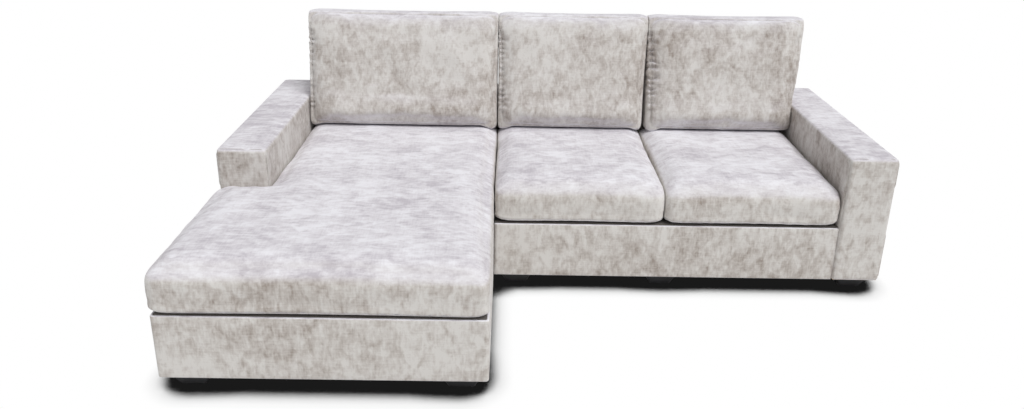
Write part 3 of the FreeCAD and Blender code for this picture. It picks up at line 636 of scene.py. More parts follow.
def attach(piece: Object, finish: Material, body: str, slot: str, *nodes: str) -> None:
    """Dress a piece, tie it to its body and hide the solids that it stands for.

    Args:
        piece: the piece.
        finish: its material.
        body: the body that it rides on.
        slot: not used.
        nodes: the solids.
    """
    piece.data.materials.clear()
    piece.data.materials.append(finish)
    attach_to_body(piece, body)
    if nodes:
        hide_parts(*nodes)


def smooth_step(values: np.ndarray) -> np.ndarray:
    """A soft step from 0 to 1."""
    held = np.clip(values, 0.0, 1.0)
    return held * held * (3 - 2 * held)


def soft_floor(values: np.ndarray, limit: float, width: float) -> np.ndarray:
    """Hold values above a limit, easing into it over a width."""
    rise = (values - limit) / width
    return limit + width * np.where(rise > 20, rise, np.log1p(np.exp(np.minimum(rise, 20))))


def soft_ceiling(values: np.ndarray, limit: float, width: float) -> np.ndarray:
    """Hold values below a limit, easing into it over a width."""
    return -soft_floor(-values, -limit, width)


def wavy(points: np.ndarray, seed: int, wavelength: float) -> np.ndarray:
    """Smooth pseudo-random waves over space, about -1 to 1.

    Args:
        points: positions.
        seed: seed of the directions and phases.
        wavelength: typical distance between crests.

    Returns:
        One value for each point.
    """
    chance = np.random.default_rng(seed)
    total = np.zeros(len(points))
    for _ in range(7):
        way = chance.normal(size=3)
        way /= np.linalg.norm(way)
        length = wavelength * chance.uniform(0.7, 1.5)
        total += np.sin(points @ way * (2 * math.pi / length) + chance.uniform(0, 2 * math.pi))
    return total / 3.5


def grid_lines(low: float, high: float, radius: float, step: float) -> np.ndarray:
    """Place stations along one side of a block, closer together in its rounded ends.

    Args:
        low: start of the side.
        high: end of the side.
        radius: radius of the ends.
        step: spacing between the ends.

    Returns:
        The stations.
    """
    count = max(int(math.ceil(max(high - low - 2 * radius, 1e-4) / step)), 1)
    turns = radius * np.tan(np.linspace(0, math.pi / 4, 4))
    middle = np.linspace(low + radius, high - radius, count + 1)
    return np.concatenate([low + radius - turns[:0:-1], middle, high - radius + turns[1:]])


def rounded_block(low: Sequence[float], high: Sequence[float], radius: float, step: float
                  ) -> tuple[np.ndarray, list[tuple[int, int, int, int]]]:
    """A closed block of quads with rounded edges.

    Args:
        low: lowest corner.
        Lay a pale floor that shows white to the camera, with a painted contact shadow.
        radius: radius of all edges.
        step: spacing of the grid.

    Returns:
        Positions and faces.
    """
    lines = [grid_lines(low[axis], high[axis], radius, step) for axis in range(3)]
    last = [len(line) - 1 for line in lines]
    index: dict[tuple[int, ...], int] = {}
    faces = []
    for axis in range(3):
        first, second = (axis + 1) % 3, (axis + 2) % 3
        for end in (0, last[axis]):
            for a in range(last[first]):
                for b in range(last[second]):
                    quad = []
                    for da, db in ((0, 0), (1, 0), (1, 1), (0, 1)):
                        key = [0, 0, 0]
                        key[axis], key[first], key[second] = end, a + da, b + db
                        quad.append(index.setdefault(tuple(key), len(index)))
                    faces.append(tuple(quad if end else quad[::-1]))
    spots = np.array([[lines[axis][key[axis]] for axis in range(3)] for key in index])
    core = np.clip(spots, np.array(low) + radius, np.array(high) - radius)
    away = spots - core
    reach = np.linalg.norm(away, axis=1, keepdims=True)
    return core + away / np.maximum(reach, 1e-9) * radius, faces


def sweep_tube(name: str, path: np.ndarray, radius: float, closed: bool, sides: int = 6) -> Object:
    """Make a thin round cord along a path.

    Args:
        name: the piece's name.
        path: points along the middle.
        radius: radius of the cord.
        closed: whether the path joins up.
        sides: corners of its section.

    Returns:
        The object.
    """
    count = len(path)
    ahead = np.roll(path, -1, axis=0)
    behind = np.roll(path, 1, axis=0)
    if not closed:
        ahead[-1] = path[-1]
        behind[0] = path[0]
    along = ahead - behind
    along /= np.linalg.norm(along, axis=1, keepdims=True)
    helper = np.where(np.abs(along[:, 2:3]) > 0.8, np.array([[0.0, 1.0, 0.0]]),
                      np.array([[0.0, 0.0, 1.0]]))
    across = np.cross(along, helper)
    across /= np.linalg.norm(across, axis=1, keepdims=True)
    over = np.cross(along, across)
    rings = []
    for angle in (2 * math.pi * side / sides for side in range(sides)):
        rings.append(path + radius * (math.cos(angle) * across + math.sin(angle) * over))
    points = np.stack(rings, axis=1).reshape(-1, 3)
    faces: list[Sequence[int]] = []
    for row in range(count if closed else count - 1):
        following = (row + 1) % count
        for side in range(sides):
            beside = (side + 1) % sides
            faces.append((row * sides + side, following * sides + side,
                          following * sides + beside, row * sides + beside))
    if not closed:
        faces.append(tuple(range(sides)))
        faces.append(tuple(range(count * sides - 1, (count - 1) * sides - 1, -1)))
    return mesh_object(name, points, faces)


def resample(path: np.ndarray, step: float, closed: bool) -> np.ndarray:
    """Space points evenly along a path.

    Args:
        path: points along the path.
        step: the spacing.
        closed: whether the path joins up.

    Returns:
        The new points.
    """
    line = np.vstack([path, path[:1]]) if closed else path
    lengths = np.concatenate([[0], np.cumsum(np.linalg.norm(np.diff(line, axis=0), axis=1))])
    count = max(int(lengths[-1] / step), 4)
    spots = np.linspace(0, lengths[-1], count + (0 if closed else 1), endpoint=not closed)
    return np.stack([np.interp(spots, lengths, line[:, axis]) for axis in range(3)], axis=1)


def rounded_loop(corners: Sequence[tuple[float, float]], radii: Sequence[float]
                 ) -> list[tuple[float, float]]:
    """Round the corners of a polygon.

    Args:
        corners: corners in order.
        radii: radius of each corner.

    Returns:
        Points in the plane.
    """
    loop = []
    for index, radius in enumerate(radii):
        corner = Vector(corners[index])
        before = (Vector(corners[index - 1]) - corner).normalized()
        after = (Vector(corners[(index + 1) % len(corners)]) - corner).normalized()
        start, end = corner + before * radius, corner + after * radius
        for share in np.linspace(0, 1, 7):
            point = start * (1 - share) ** 2 + corner * 2 * share * (1 - share) + end * share ** 2
            loop.append((point.x, point.y))
    return loop


# Seams


@dataclass
class Seam:
    """A sewn seam along a padded form: a groove in the form and a lip of doubled cloth."""

    name: str
    path: np.ndarray
    closed: bool = True
    groove: float = 0.0028
    groove_width: float = 0.009
    lip: float = 0.0017
    stitch: float = 0.005         # spacing of the path's points

    def settle(self, piece: Object) -> None:
        """Lay the path on the surface of a piece.

        Args:
            piece: the piece.
        """
        skin = BVHTree.FromPolygons([vertex.co for vertex in piece.data.vertices],
                                    [tuple(face.vertices) for face in piece.data.polygons])
        track = np.array([tuple(skin.find_nearest(Vector(point))[0])
                          for point in resample(self.path, self.stitch, self.closed)])
        inner = slice(None) if self.closed else slice(1, -1)
        for _ in range(3):
            nearby = (np.roll(track, 1, axis=0) + np.roll(track, -1, axis=0)) / 2
            track[inner] = track[inner] * 0.5 + nearby[inner] * 0.5
        self.path = track

    def nearest(self, points: np.ndarray) -> tuple[np.ndarray, np.ndarray]:
        """Distance from each point to the seam and the station that is nearest.

        Args:
            points: positions to test.

        Returns:
            Distances and indices along the path.
        """
        tree = KDTree(len(self.path))
        for index, point in enumerate(self.path):
            tree.insert(point, index)
        tree.balance()
        found = [tree.find(point) for point in points]
        return np.array([hit[2] for hit in found]), np.array([hit[1] for hit in found])

    def press(self, piece: Object) -> None:
        """Press the groove into a piece.

        Args:
            piece: the piece.
        """
        points, ways = surface(piece)
        distance, _ = self.nearest(points)
        depth = self.groove * smooth_step(1 - distance / self.groove_width)
        set_positions(piece, points - ways * depth[:, None])

    def sew(self, body: str, cloth: Material) -> None:
        """Lay the lip of doubled cloth along the path."""
        attach(sweep_tube(self.name, self.path, self.lip, self.closed), cloth, body, "upholstery")

    def finish(self, piece: Object, body: str, cloth: Material) -> None:
        """Make the whole seam on a piece.

        Args:
            piece: the piece.
            body: the body that it rides on.
            cloth: the piece's cloth.
        """
        self.settle(piece)
        self.press(piece)
        self.sew(body, cloth)


@dataclass
class Gathers:
    """Short puckers that run off a seam into the panel beside it."""

    seed: int
    spacing: float = 0.019
    reach: tuple[float, float] = (0.018, 0.075)
    depth: tuple[float, float] = (0.0025, 0.0065)
    width: tuple[float, float] = (0.0038, 0.0065)

    def press(self, piece: Object, seam: Seam, allowed: Callable[[np.ndarray], np.ndarray]) -> None:
        """Press the puckers into a piece.

        Args:
            piece: the cushion.
            seam: the seam that they start from.
            allowed: share of the pucker's depth at each position.
        """
        chance = np.random.default_rng(self.seed)
        points, ways = surface(piece)
        distance, station = seam.nearest(points)
        steps = np.linalg.norm(np.diff(seam.path, axis=0, append=seam.path[:1]), axis=1)
        along = np.concatenate([[0], np.cumsum(steps)])[:-1]
        total = along[-1] + steps[-1]
        place = along[station]
        offset = np.zeros(len(points))
        near = distance < self.reach[1] * 1.2
        mark = 0.0
        while mark < total:
            mark += self.spacing * chance.uniform(0.45, 1.8)
            reach = chance.uniform(*self.reach)
            deep = chance.uniform(*self.depth)
            wide = chance.uniform(*self.width)
            lean = chance.normal() * 0.25
            apart = place[near] - mark - lean * distance[near]
            apart = (apart + total / 2) % total - total / 2
            fade = smooth_step(1 - distance[near] / reach)
            spread = wide * (1 + distance[near] / reach)
            offset[near] -= deep * np.exp(-(apart / spread) ** 2) * fade
            offset[near] += 0.5 * deep * np.exp(-((np.abs(apart) - 2.2 * spread) / spread) ** 2) * fade
        offset *= allowed(points)
        set_positions(piece, points + ways * offset[:, None])


# Cushions


@dataclass
class Cushion:
    """A loose cushion: foam and fibre in a sewn case, swollen by its filling."""

    node: str
    body: str
    fill: float
    voxel: float = 0.0125
    start_in: float = 0.008       # how much smaller the case starts
    cap: float = 0.013            # the most that a point may move outward
    give: float = 0.003           # the most that a point may move inward
    slip: float = 0.006           # the most that a point may slide along the form
    pressure: float = 4.0
    frames: int = 20              # time that the filling takes to settle
    ease: float = 0.002           # width of the soft limits of its room
    gap_left: float = 0.0012      # how far it reaches into the gaps beside it
    gap_right: float = 0.0012
    softness: int = 2             # rounds of easing of the case's edges
    fitted: tuple[Axis, ...] = (Axis.X, Axis.Z)    # axes along which it fills its room
    seed: int = 1
    low: Vector = field(default_factory=Vector, init=False)
    high: Vector = field(default_factory=Vector, init=False)
    case: Optional[Object] = field(default=None, init=False)

    def build(self, cloth: Material) -> Object:
        """Make the cushion.

        Args:
            cloth: the case's finish.

        Returns:
            The case.
        """
        self.low, self.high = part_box(self.node)
        self.cut_case()
        self.swell()
        self.soften()
        self.fit()
        reshape(self.case, "SUBSURF", levels=1, render_levels=1)
        self.form()
        self.sew(cloth)
        attach(self.case, cloth, self.body, "upholstery", self.node)
        return self.case

    def form(self) -> None:
        """Give the case its own form."""
        raise NotImplementedError

    def sew(self, cloth: Material) -> None:
        """Sew the case's seams."""
        raise NotImplementedError

    def cut_case(self) -> None:
        """Copy the solid's form in one skin of even faces, and take it in a little."""
        self.case = into_scene(self.node + "_case", joined_copy(self.node))
        reshape(self.case, "REMESH", mode="VOXEL", voxel_size=self.voxel)
        for _ in range(2):
            points, ways = surface(self.case)
            set_positions(self.case, points - ways * self.start_in / 2)

    def swell(self) -> None:
        """Fill the case: cloth under pressure, with each point's travel capped."""
        start, ways = surface(self.case)
        moved = self.filled()
        travel = moved - start
        out = np.sum(travel * ways, axis=1, keepdims=True)
        slide = travel - out * ways
        length = np.linalg.norm(slide, axis=1, keepdims=True)
        slide *= self.slip * np.tanh(length / self.slip) / np.maximum(length, 1e-9)
        limit = np.where(out > 0, self.cap, self.give)
        set_positions(self.case, start + ways * limit * np.tanh(out / limit) + slide)

    def filled(self) -> np.ndarray:
        """Run the filling's cloth simulation.

        Returns:
            Where each point of the case ends.
        """
        cloth = self.case.modifiers.new("filling", "CLOTH")
        settings = {
            "quality": 5, "mass": 0.3, "use_pressure": True, "uniform_pressure_force": self.pressure,
            "tension_stiffness": 12.0, "compression_stiffness": 12.0, "shear_stiffness": 4.0,
            "bending_stiffness": 0.6}
        for name, value in settings.items():
            setattr(cloth.settings, name, value)
        cloth.settings.effector_weights.gravity = 0.0
        cloth.collision_settings.use_collision = False
        cloth.point_cache.frame_start = 1
        cloth.point_cache.frame_end = self.frames
        for number in range(1, self.frames + 1):
            bpy.context.scene.frame_set(number)
        swollen = self.case.evaluated_get(bpy.context.evaluated_depsgraph_get())
        moved = per_vertex(swollen.to_mesh(), "co")
        swollen.to_mesh_clear()
        self.case.modifiers.clear()
        bpy.context.scene.frame_set(1)
        return moved

    def soften(self) -> None:
        """Round the form by drawing each point towards its neighbours."""
        mesh = self.case.data
        ends = np.empty(len(mesh.edges) * 2, dtype=np.int64)
        mesh.edges.foreach_get("vertices", ends)
        first, second = ends.reshape(-1, 2).T
        count = np.bincount(ends, minlength=len(mesh.vertices))[:, None]
        points = per_vertex(mesh, "co")
        for _ in range(self.softness):
            total = np.zeros_like(points)
            np.add.at(total, first, points[second])
            np.add.at(total, second, points[first])
            points = points * 0.5 + total / count * 0.5
        set_positions(self.case, points)

    def fit(self) -> None:
        """Stretch the case so that it fills its room along the fitted axes."""
        points = per_vertex(self.case.data, "co")
        for axis in (way.value for way in self.fitted):
            least, most = points[:, axis].min(), points[:, axis].max()
            share = (points[:, axis] - least) / (most - least)
            points[:, axis] = self.low[axis] + share * (self.high[axis] - self.low[axis])
        set_positions(self.case, points)


    def hold_between(self, x: np.ndarray, over: float = 0.0) -> None:
        """Keep the cushion between its neighbours.

        Args:
            x: its points' places across the sofa, changed in place.
            over: how much further it may reach on its right.
        """
        x[:] = soft_floor(x, self.low.x - self.gap_left, self.ease)
        x[:] = soft_ceiling(x, self.high.x + self.gap_right + over, self.ease)


@dataclass
class SeatCushion(Cushion):
    """A seat cushion with a waterfall front and a boxed lower edge."""

    softness: int = 12
    fitted: tuple[Axis, ...] = (Axis.X, Axis.Y)
    radii: tuple[float, ...] = (0.04, 0.04, 0.02, 0.02)
    notch: Optional[tuple[float, float]] = None
    top_limit: float = 0.4603     # highest level under the back cushions
    crown: float = 0.011          # how much higher it may rise before them
    under_backs: float = 0.38     # where they begin to bear on it
    lower_seam: float = 0.014
    waterfall: float = 0.095      # depth of the rolled front
    roll_over: float = 0.015      # how far its edge falls
    proud: float = 0.007          # how far the free sides swell past the base
    full_foot: float = 0.008      # how much further the pressed lower edges swell
    edge_drop: float = 0.003      # how far the lower edges are pushed down

    def form(self) -> None:
        """Give the case the form of a seat cushion."""
        self.square_foot()
        self.settle()
        self.shape()

    def sew(self, cloth: Material) -> None:
        """Sew the seam round the lower edge, with a few flat puckers.

        Args:
            cloth: the case's finish.
        """
        low, high = self.low, self.high
        corners = [(low.x, low.y), (high.x, low.y), (high.x, high.y)]
        if self.notch:
            corners += [(self.notch[0], high.y), self.notch, (low.x, self.notch[1])]
        else:
            corners += [(low.x, high.y)]
        path = np.array([(x, y, low.z + self.lower_seam) for x, y in rounded_loop(corners, self.radii)])
        lower = Seam(self.node + "_lower_seam", path, groove=0.0016, lip=0.0013)
        lower.settle(self.case)
        lower.press(self.case)
        puckers = Gathers(self.seed + 40, 0.045, (0.012, 0.035), (0.0008, 0.002), (0.006, 0.012))
        puckers.press(self.case, lower, lambda points: np.ones(len(points)))
        lower.sew(self.body, cloth)

    def square_foot(self) -> None:
        """Fill the sides out and push the lower edges down, as the weight of the cushion does."""
        points, ways = surface(self.case)
        share = 1 - smooth_step((points[:, 2] - self.low.z - 0.012) / 0.034)
        points[:, :2] += ways[:, :2] * (self.proud + share * self.full_foot)[:, None]
        points[:, 2] -= share * self.edge_drop
        set_positions(self.case, points)

    def settle(self) -> None:
        """Rest the cushion on the platform and hold it between its neighbours."""
        points = per_vertex(self.case.data, "co")
        x, y, z = points.T
        z[:] = soft_floor(z, self.low.z + 0.0002, 0.0015)
        y[:] = soft_floor(y, self.low.y - self.proud, self.ease)
        y[:] = soft_ceiling(y, self.high.y, self.ease)
        self.hold_between(x)
        if self.notch:
            over, forward = self.notch[0] - x, y - self.notch[1]
            inside = (over > -0.004) & (forward > -0.004)
            to_side = inside & (over < forward)
            to_front = inside & ~to_side
            x[to_side] = soft_floor(x[to_side], self.notch[0], self.ease)
            y[to_front] = soft_ceiling(y[to_front], self.notch[1], self.ease)
        ceiling = self.top_limit + (1 - smooth_step((y - self.under_backs) / 0.11)) * self.crown
        z[:] = ceiling + soft_ceiling(z - ceiling, -0.0004, 0.0025)
        set_positions(self.case, points)

    def shape(self) -> None:
        """Roll the front over in a soft waterfall and add the unevenness of a filled case."""
        points, ways = surface(self.case)
        front = 1 - np.clip((points[:, 1] - self.low.y) / self.waterfall, 0, 1)
        upper = smooth_step((points[:, 2] - self.low.z - 0.05) / 0.10)
        points[:, 2] -= self.roll_over * front ** 2 * upper
        free = smooth_step((points[:, 2] - self.low.z - 0.01) / 0.03)
        free *= 1 - smooth_step((points[:, 1] - self.under_backs - 0.02) / 0.08)
        swell = 0.0016 * wavy(points, self.seed, 0.19) + 0.0007 * wavy(points, self.seed + 9, 0.06)
        set_positions(self.case, points + ways * (swell * free)[:, None])


@dataclass
class BackCushion(Cushion):
    """A fibre-filled back cushion with gathered side seams and a full foot."""

    gap_left: float = 0.001
    gap_right: float = 0.001
    belly: float = 0.020          # how far the lower front swells forward
    sag: tuple[float, float] = (0.010, 0.010)     # how far each lower corner drops between the seats
    puckered: float = 1.0         # strength of the gathers
    overhang: float = 0.0         # extra fullness of the upper right side, over the arm
    fill_out: float = 0.013       # how far the sides and corners swell into the room beside them
    foot: float = 0.4606          # height of its foot
    rear_foot: float = 0.6638     # where the inside back lies at that height
    lean: float = 73 / 292
    thick: float = 0.182
    corner_turn: float = 0.05     # size of the top corners that are filled out
    soft_dents: tuple[tuple[float, float, float, float], ...] = ()    # x, z, half width, depth

    def form(self) -> None:
        """Give the case the form of a back cushion."""
        self.plump()
        self.settle()
        self.shape()

    def aside(self, points: np.ndarray) -> tuple[np.ndarray, float]:
        """How far each point lies to the right of the middle, and half the width."""
        return points[:, 0] - (self.low.x + self.high.x) / 2, (self.high.x - self.low.x) / 2

    def rear_plane(self, heights: np.ndarray) -> np.ndarray:
        """Where the inside back lies at each height."""
        return self.rear_foot + (heights - self.foot) * self.lean

    def gathered(self, points: np.ndarray) -> np.ndarray:
        """Share of the gathers: full at the left seam, less at the right one, none on top.

        Args:
            points: positions.

        Returns:
            A share for each.
        """
        off, half = self.aside(points)
        outer = smooth_step((np.abs(off) - half + 0.12) / 0.06)
        upper = 1 - smooth_step((points[:, 2] - self.high.z + 0.075) / 0.04)
        forward = smooth_step((self.rear_plane(points[:, 2]) - points[:, 1] - 0.08) / 0.04)
        lower = smooth_step((points[:, 2] - self.low.z - 0.04) / 0.05)
        return outer * upper * lower * forward * np.where(off < 0, self.puckered, self.puckered * 0.2)

    def sew(self, cloth: Material) -> None:
        """Sew the seams round the front and the rear, and gather the front one.

        Args:
            cloth: the case's finish.
        """
        refine(self.case, self.gathered)
        front = self.loop_seam("_front_seam", self.thick - 0.012)
        rear = self.loop_seam("_rear_seam", 0.02)
        for seam in (front, rear):
            seam.settle(self.case)
            seam.press(self.case)
        Gathers(self.seed).press(self.case, front, self.gathered)
        for seam in (front, rear):
            seam.settle(self.case)
            seam.sew(self.body, cloth)

    def loop_seam(self, ending: str, depth: float) -> Seam:
        """Draw a seam round the cushion.

        Args:
            ending: ending of its name.
            depth: how far it lies before the rear.

        Returns:
            The seam.
        """
        left, right, foot = self.low.x + 0.006, self.high.x - 0.006, self.low.z + 0.012
        top = self.high.z - 0.004 - (self.thick - depth) * self.lean
        loop = rounded_loop([(left + 0.011, foot), (right - 0.011, foot), (right, top), (left, top)],
                            (0.034, 0.034, 0.04, 0.04))
        path = np.array([(x, self.rear_plane(np.array(z)) - depth, z) for x, z in loop])
        return Seam(self.node + ending, path, groove=0.0042, groove_width=0.011)

    def drop(self, points: np.ndarray) -> np.ndarray:
        """How far the foot sags at each point, in its two corners.

        Args:
            points: positions.

        Returns:
            A length for each.
        """
        off, half = self.aside(points)
        return sum(low * smooth_step((side * off - half + 0.075) / 0.065)
                   for side, low in zip((-1, 1), self.sag))

    def plump(self) -> None:
        """Swell the sides, the foot and the lower corners as loose filling does."""
        points, ways = surface(self.case)
        off, half = self.aside(points)
        off = off / half
        drop = self.drop(points)
        up = (points[:, 2] - self.low.z) / (self.high.z - self.low.z)
        points[:, 0] += ways[:, 0] * self.fill_out
        points[:, 2] += ways[:, 2] * self.fill_out * np.where(ways[:, 2] > 0, 1.0, 0.3)
        forward = smooth_step((self.rear_plane(points[:, 2]) - points[:, 1] - 0.05) / 0.09)
        rise = np.exp(-((up - 0.14) / 0.13) ** 2) * (1 - np.clip(np.abs(off), 0, 1) ** 4)
        points[:, 1] -= self.belly * forward * rise
        points[:, 2] -= drop * (1 - smooth_step((points[:, 2] - self.low.z) / 0.10))
        above = smooth_step((points[:, 2] - 0.60) / 0.08) * smooth_step((off - 0.75) / 0.2)
        points[:, 0] += self.overhang * above
        self.square_top(points)
        set_positions(self.case, points)

    def square_top(self, points: np.ndarray) -> None:
        """Fill the two top corners out, nearly square.

        Args:
            points: the cushion's positions, changed in place.
        """
        turn = self.corner_turn
        off, half = self.aside(points)
        edge = self.high.z - (self.rear_plane(points[:, 2]) - points[:, 1]) * self.lean
        aside = np.abs(off) - (half - turn)
        above = points[:, 2] - (edge - turn)
        inside = (aside > 0) & (above > 0)
        wide, tall = aside[inside] / turn, above[inside] / turn
        fuller = np.hypot(wide, tall) / (wide ** 5 + tall ** 5) ** 0.2
        grown = (fuller - 1) * 0.75
        points[inside, 0] += np.sign(off[inside]) * aside[inside] * grown
        points[inside, 2] += above[inside] * grown

    def settle(self) -> None:
        """Lean the cushion on the inside back and hold it between its neighbours."""
        points = per_vertex(self.case.data, "co")
        x, y, z = points.T
        level = self.low.z + 0.001 - self.drop(points)
        z[:] = level + soft_floor(z - level, 0.0, self.ease)
        z[:] = soft_ceiling(z, self.high.z, 0.003)
        self.hold_between(x, self.overhang)
        behind = y - self.rear_plane(z)
        y += soft_ceiling(behind, -0.001, self.ease) - behind
        set_positions(self.case, points)

    def shape(self) -> None:
        """Press a few soft hollows and creases into the front."""
        points, ways = surface(self.case)
        up = (points[:, 2] - self.low.z) / (self.high.z - self.low.z)
        front = smooth_step((-ways[:, 1] - 0.2) / 0.5)
        off, half = self.aside(points)
        middle = np.clip(1 - np.abs(off / half) ** 2.5, 0, 1)
        hollow = -0.003 * np.exp(-((up - 0.55) / 0.3) ** 2) * middle
        uneven = 0.0026 * wavy(points, self.seed + 3, 0.21) + 0.0011 * wavy(points, self.seed + 5, 0.07)
        offset = front * (hollow + uneven)
        for x, z, wide, deep in self.soft_dents:
            reach = ((points[:, 0] - x) / wide) ** 2 + ((points[:, 2] - z) / (wide * 0.22)) ** 2
            offset -= front * deep * np.exp(-reach)
        set_positions(self.case, points + ways * offset[:, None])


# Fixed upholstery


@dataclass
class PaddedSkin:
    """Fixed upholstery pulled over a frame: a rounded block with slightly full faces."""

    name: str
    node: str
    body: str
    radius: float
    drop: Callable[[np.ndarray], np.ndarray]      # faces that are left open, by their centres
    step: float = 0.014
    fullness: float = 0.0025
    seed: int = 1
    mould: Optional[Callable[[np.ndarray], np.ndarray]] = None
    thickness: float = 0.005      # of the cloth doubled inward

    def build(self, cloth: Material) -> Object:
        """Make the skin, with its hidden openings left open and the cloth doubled inward.

        Args:
            cloth: the skin's finish.

        Returns:
            The skin.
        """
        low, high = (np.array(tuple(corner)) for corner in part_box(self.node))
        points, faces = rounded_block(low, high, self.radius, self.step)
        gone = self.drop(np.array([points[list(face)].mean(axis=0) for face in faces]))
        faces = [face for face, out in zip(faces, gone) if not out]
        used = sorted({index for face in faces for index in face})
        new = {old: number for number, old in enumerate(used)}
        points = points[used]
        piece = mesh_object(self.name, points, [tuple(new[index] for index in face) for face in faces])
        ways = np.abs(per_vertex(piece.data, "normal"))
        inner = np.clip(1 - np.abs((points - (low + high) / 2) / ((high - low) / 2)) ** 3, 0, 1)
        fade = (inner[:, 0] * ways[:, 1] * inner[:, 2] + inner[:, 1] * ways[:, 0] * inner[:, 2]
                + inner[:, 0] * ways[:, 2] * inner[:, 1])
        uneven = 0.0006 * wavy(points, self.seed, 0.16)
        ways = per_vertex(piece.data, "normal")
        points = points + ways * (fade * (self.fullness + uneven))[:, None]
        set_positions(piece, self.mould(points) if self.mould else points)
        reshape(piece, "SOLIDIFY", thickness=self.thickness, offset=-1.0)
        attach(piece, cloth, self.body, "upholstery", self.node)
        return piece


@dataclass
class Arm:
    """A straight slab arm: a box-sewn cover with a top panel and a front panel."""

    side: Side
    body: str
    seed: int
    radius: float = 0.016
    rail_top: float = 0.262       # top of the base that hides the walls behind it
    set_back: float = 0.012       # of the front panel's seam
    inset: float = 0.003          # of the seams from the cover's box
    top_inset: float = 0.017      # of the top panel's seams from the walls
    low: Vector = field(default_factory=Vector, init=False)
    high: Vector = field(default_factory=Vector, init=False)

    def build(self, cloth: Material) -> Object:
        """Make the arm's cover and its seams.

        Args:
            cloth: the cover's finish.

        Returns:
            The cover.
        """
        name = self.side.value + "_arm"
        self.low, self.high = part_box(name + "_cover")
        piece = PaddedSkin(name + "_skin", name + "_cover", self.body, self.radius, self.hidden,
                           seed=self.seed).build(cloth)
        for seam in self.seams(name):
            seam.finish(piece, self.body, cloth)
        return piece

    def inner_wall(self) -> float:
        """Where the wall on the seat's side lies."""
        return self.high.x if self.side is Side.LEFT else self.low.x

    def hidden(self, spots: np.ndarray) -> np.ndarray:
        """Find the open underside, and the walls behind the seat base.

        Args:
            spots: centres of faces.

        Returns:
            True where a face is hidden.
        """
        x, y, z = spots.T
        lower = z < self.rail_top
        inner = (np.abs(x - self.inner_wall()) < 0.017) & lower & (y > self.low.y + 0.018)
        front = (y < self.low.y + 0.017) & lower & (self.side is Side.LEFT)
        return (z < self.low.z + 0.002) | inner | front

    def seams(self, name: str) -> list[Seam]:
        """Draw the front panel's seam, and those of the top panel along both upper edges.

        Args:
            name: the arm's name.

        Returns:
            The seams.
        """
        y, turn = self.low.y + self.set_back, 0.012
        left, right, top = self.low.x + self.inset, self.high.x - self.inset, self.high.z - self.inset
        foot = (self.rail_top if self.side is Side.LEFT else self.low.z) + 0.02
        panel = [(left, y, foot), (left, y, top - turn), (left + turn, y, top),
                 (right - turn, y, top), (right, y, top - turn), (right, y, foot)]
        seams = [Seam(name + "_front_seam", np.array(panel), closed=False,
                      groove=0.0022, groove_width=0.012, lip=0.0016)]
        for tag, left_wall in (("inner", self.side is Side.RIGHT), ("outer", self.side is Side.LEFT)):
            x = self.low.x + self.top_inset if left_wall else self.high.x - self.top_inset
            line = [(x, self.low.y + 0.02, top), (x, self.high.y - 0.02, top)]
            seams.append(Seam(f"{name}_{tag}_top_seam", np.array(line), closed=False,
                              groove=0.0030, groove_width=0.013, lip=0.0018))
        return seams


@dataclass
class BackPanel:
    """The fixed back of a unit: pitched inside, flat on top, upright behind."""

    unit: str
    seed: int
    seat_level: float = 0.284     # where the pitch of the inside starts
    lean: float = 0.073           # how far the inside leans back at the top
    base_top: float = 0.25        # top of the base that hides the walls behind it
    low: Vector = field(default_factory=Vector, init=False)
    high: Vector = field(default_factory=Vector, init=False)

    def build(self, cloth: Material) -> Object:
        """Make the back's cover with a seam along its upper edges.

        Args:
            cloth: the cover's finish.

        Returns:
            The cover.
        """
        name, body = self.unit + "_back", self.unit + "_unit"
        self.low, self.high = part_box(name + "_cover")
        piece = PaddedSkin(name + "_skin", name + "_cover", body, 0.01, self.hidden,
                           fullness=0.0015, seed=self.seed, mould=self.pitch).build(cloth)
        for tag, y in (("front", self.low.y + self.lean + 0.006), ("rear", self.high.y - 0.006)):
            line = [(self.low.x + 0.012, y, self.high.z), (self.high.x - 0.012, y, self.high.z)]
            Seam(f"{name}_{tag}_top_seam", np.array(line), closed=False,
                 groove=0.001, groove_width=0.012, lip=0.0012).finish(piece, body, cloth)
        return piece

    def pitch(self, points: np.ndarray) -> np.ndarray:
        """Lean the inside face back above the seat.

        Args:
            points: positions of the upright cover.

        Returns:
            Positions of the pitched one.
        """
        share = np.clip((points[:, 2] - self.seat_level) / (self.high.z - self.seat_level), 0, 1) * self.lean
        moved = points.copy()
        moved[:, 1] += share * (self.high.y - points[:, 1]) / (self.high.y - self.low.y)
        return moved

    def hidden(self, spots: np.ndarray) -> np.ndarray:
        """Find the underside, and the part below the top of the base in front of the rear face.

        Args:
            spots: centres of faces.

        Returns:
            True where a face is hidden.
        """
        below = (spots[:, 2] < self.base_top) & (spots[:, 1] < self.high.y - 0.02)
        return (spots[:, 2] < self.low.z + 0.002) | below


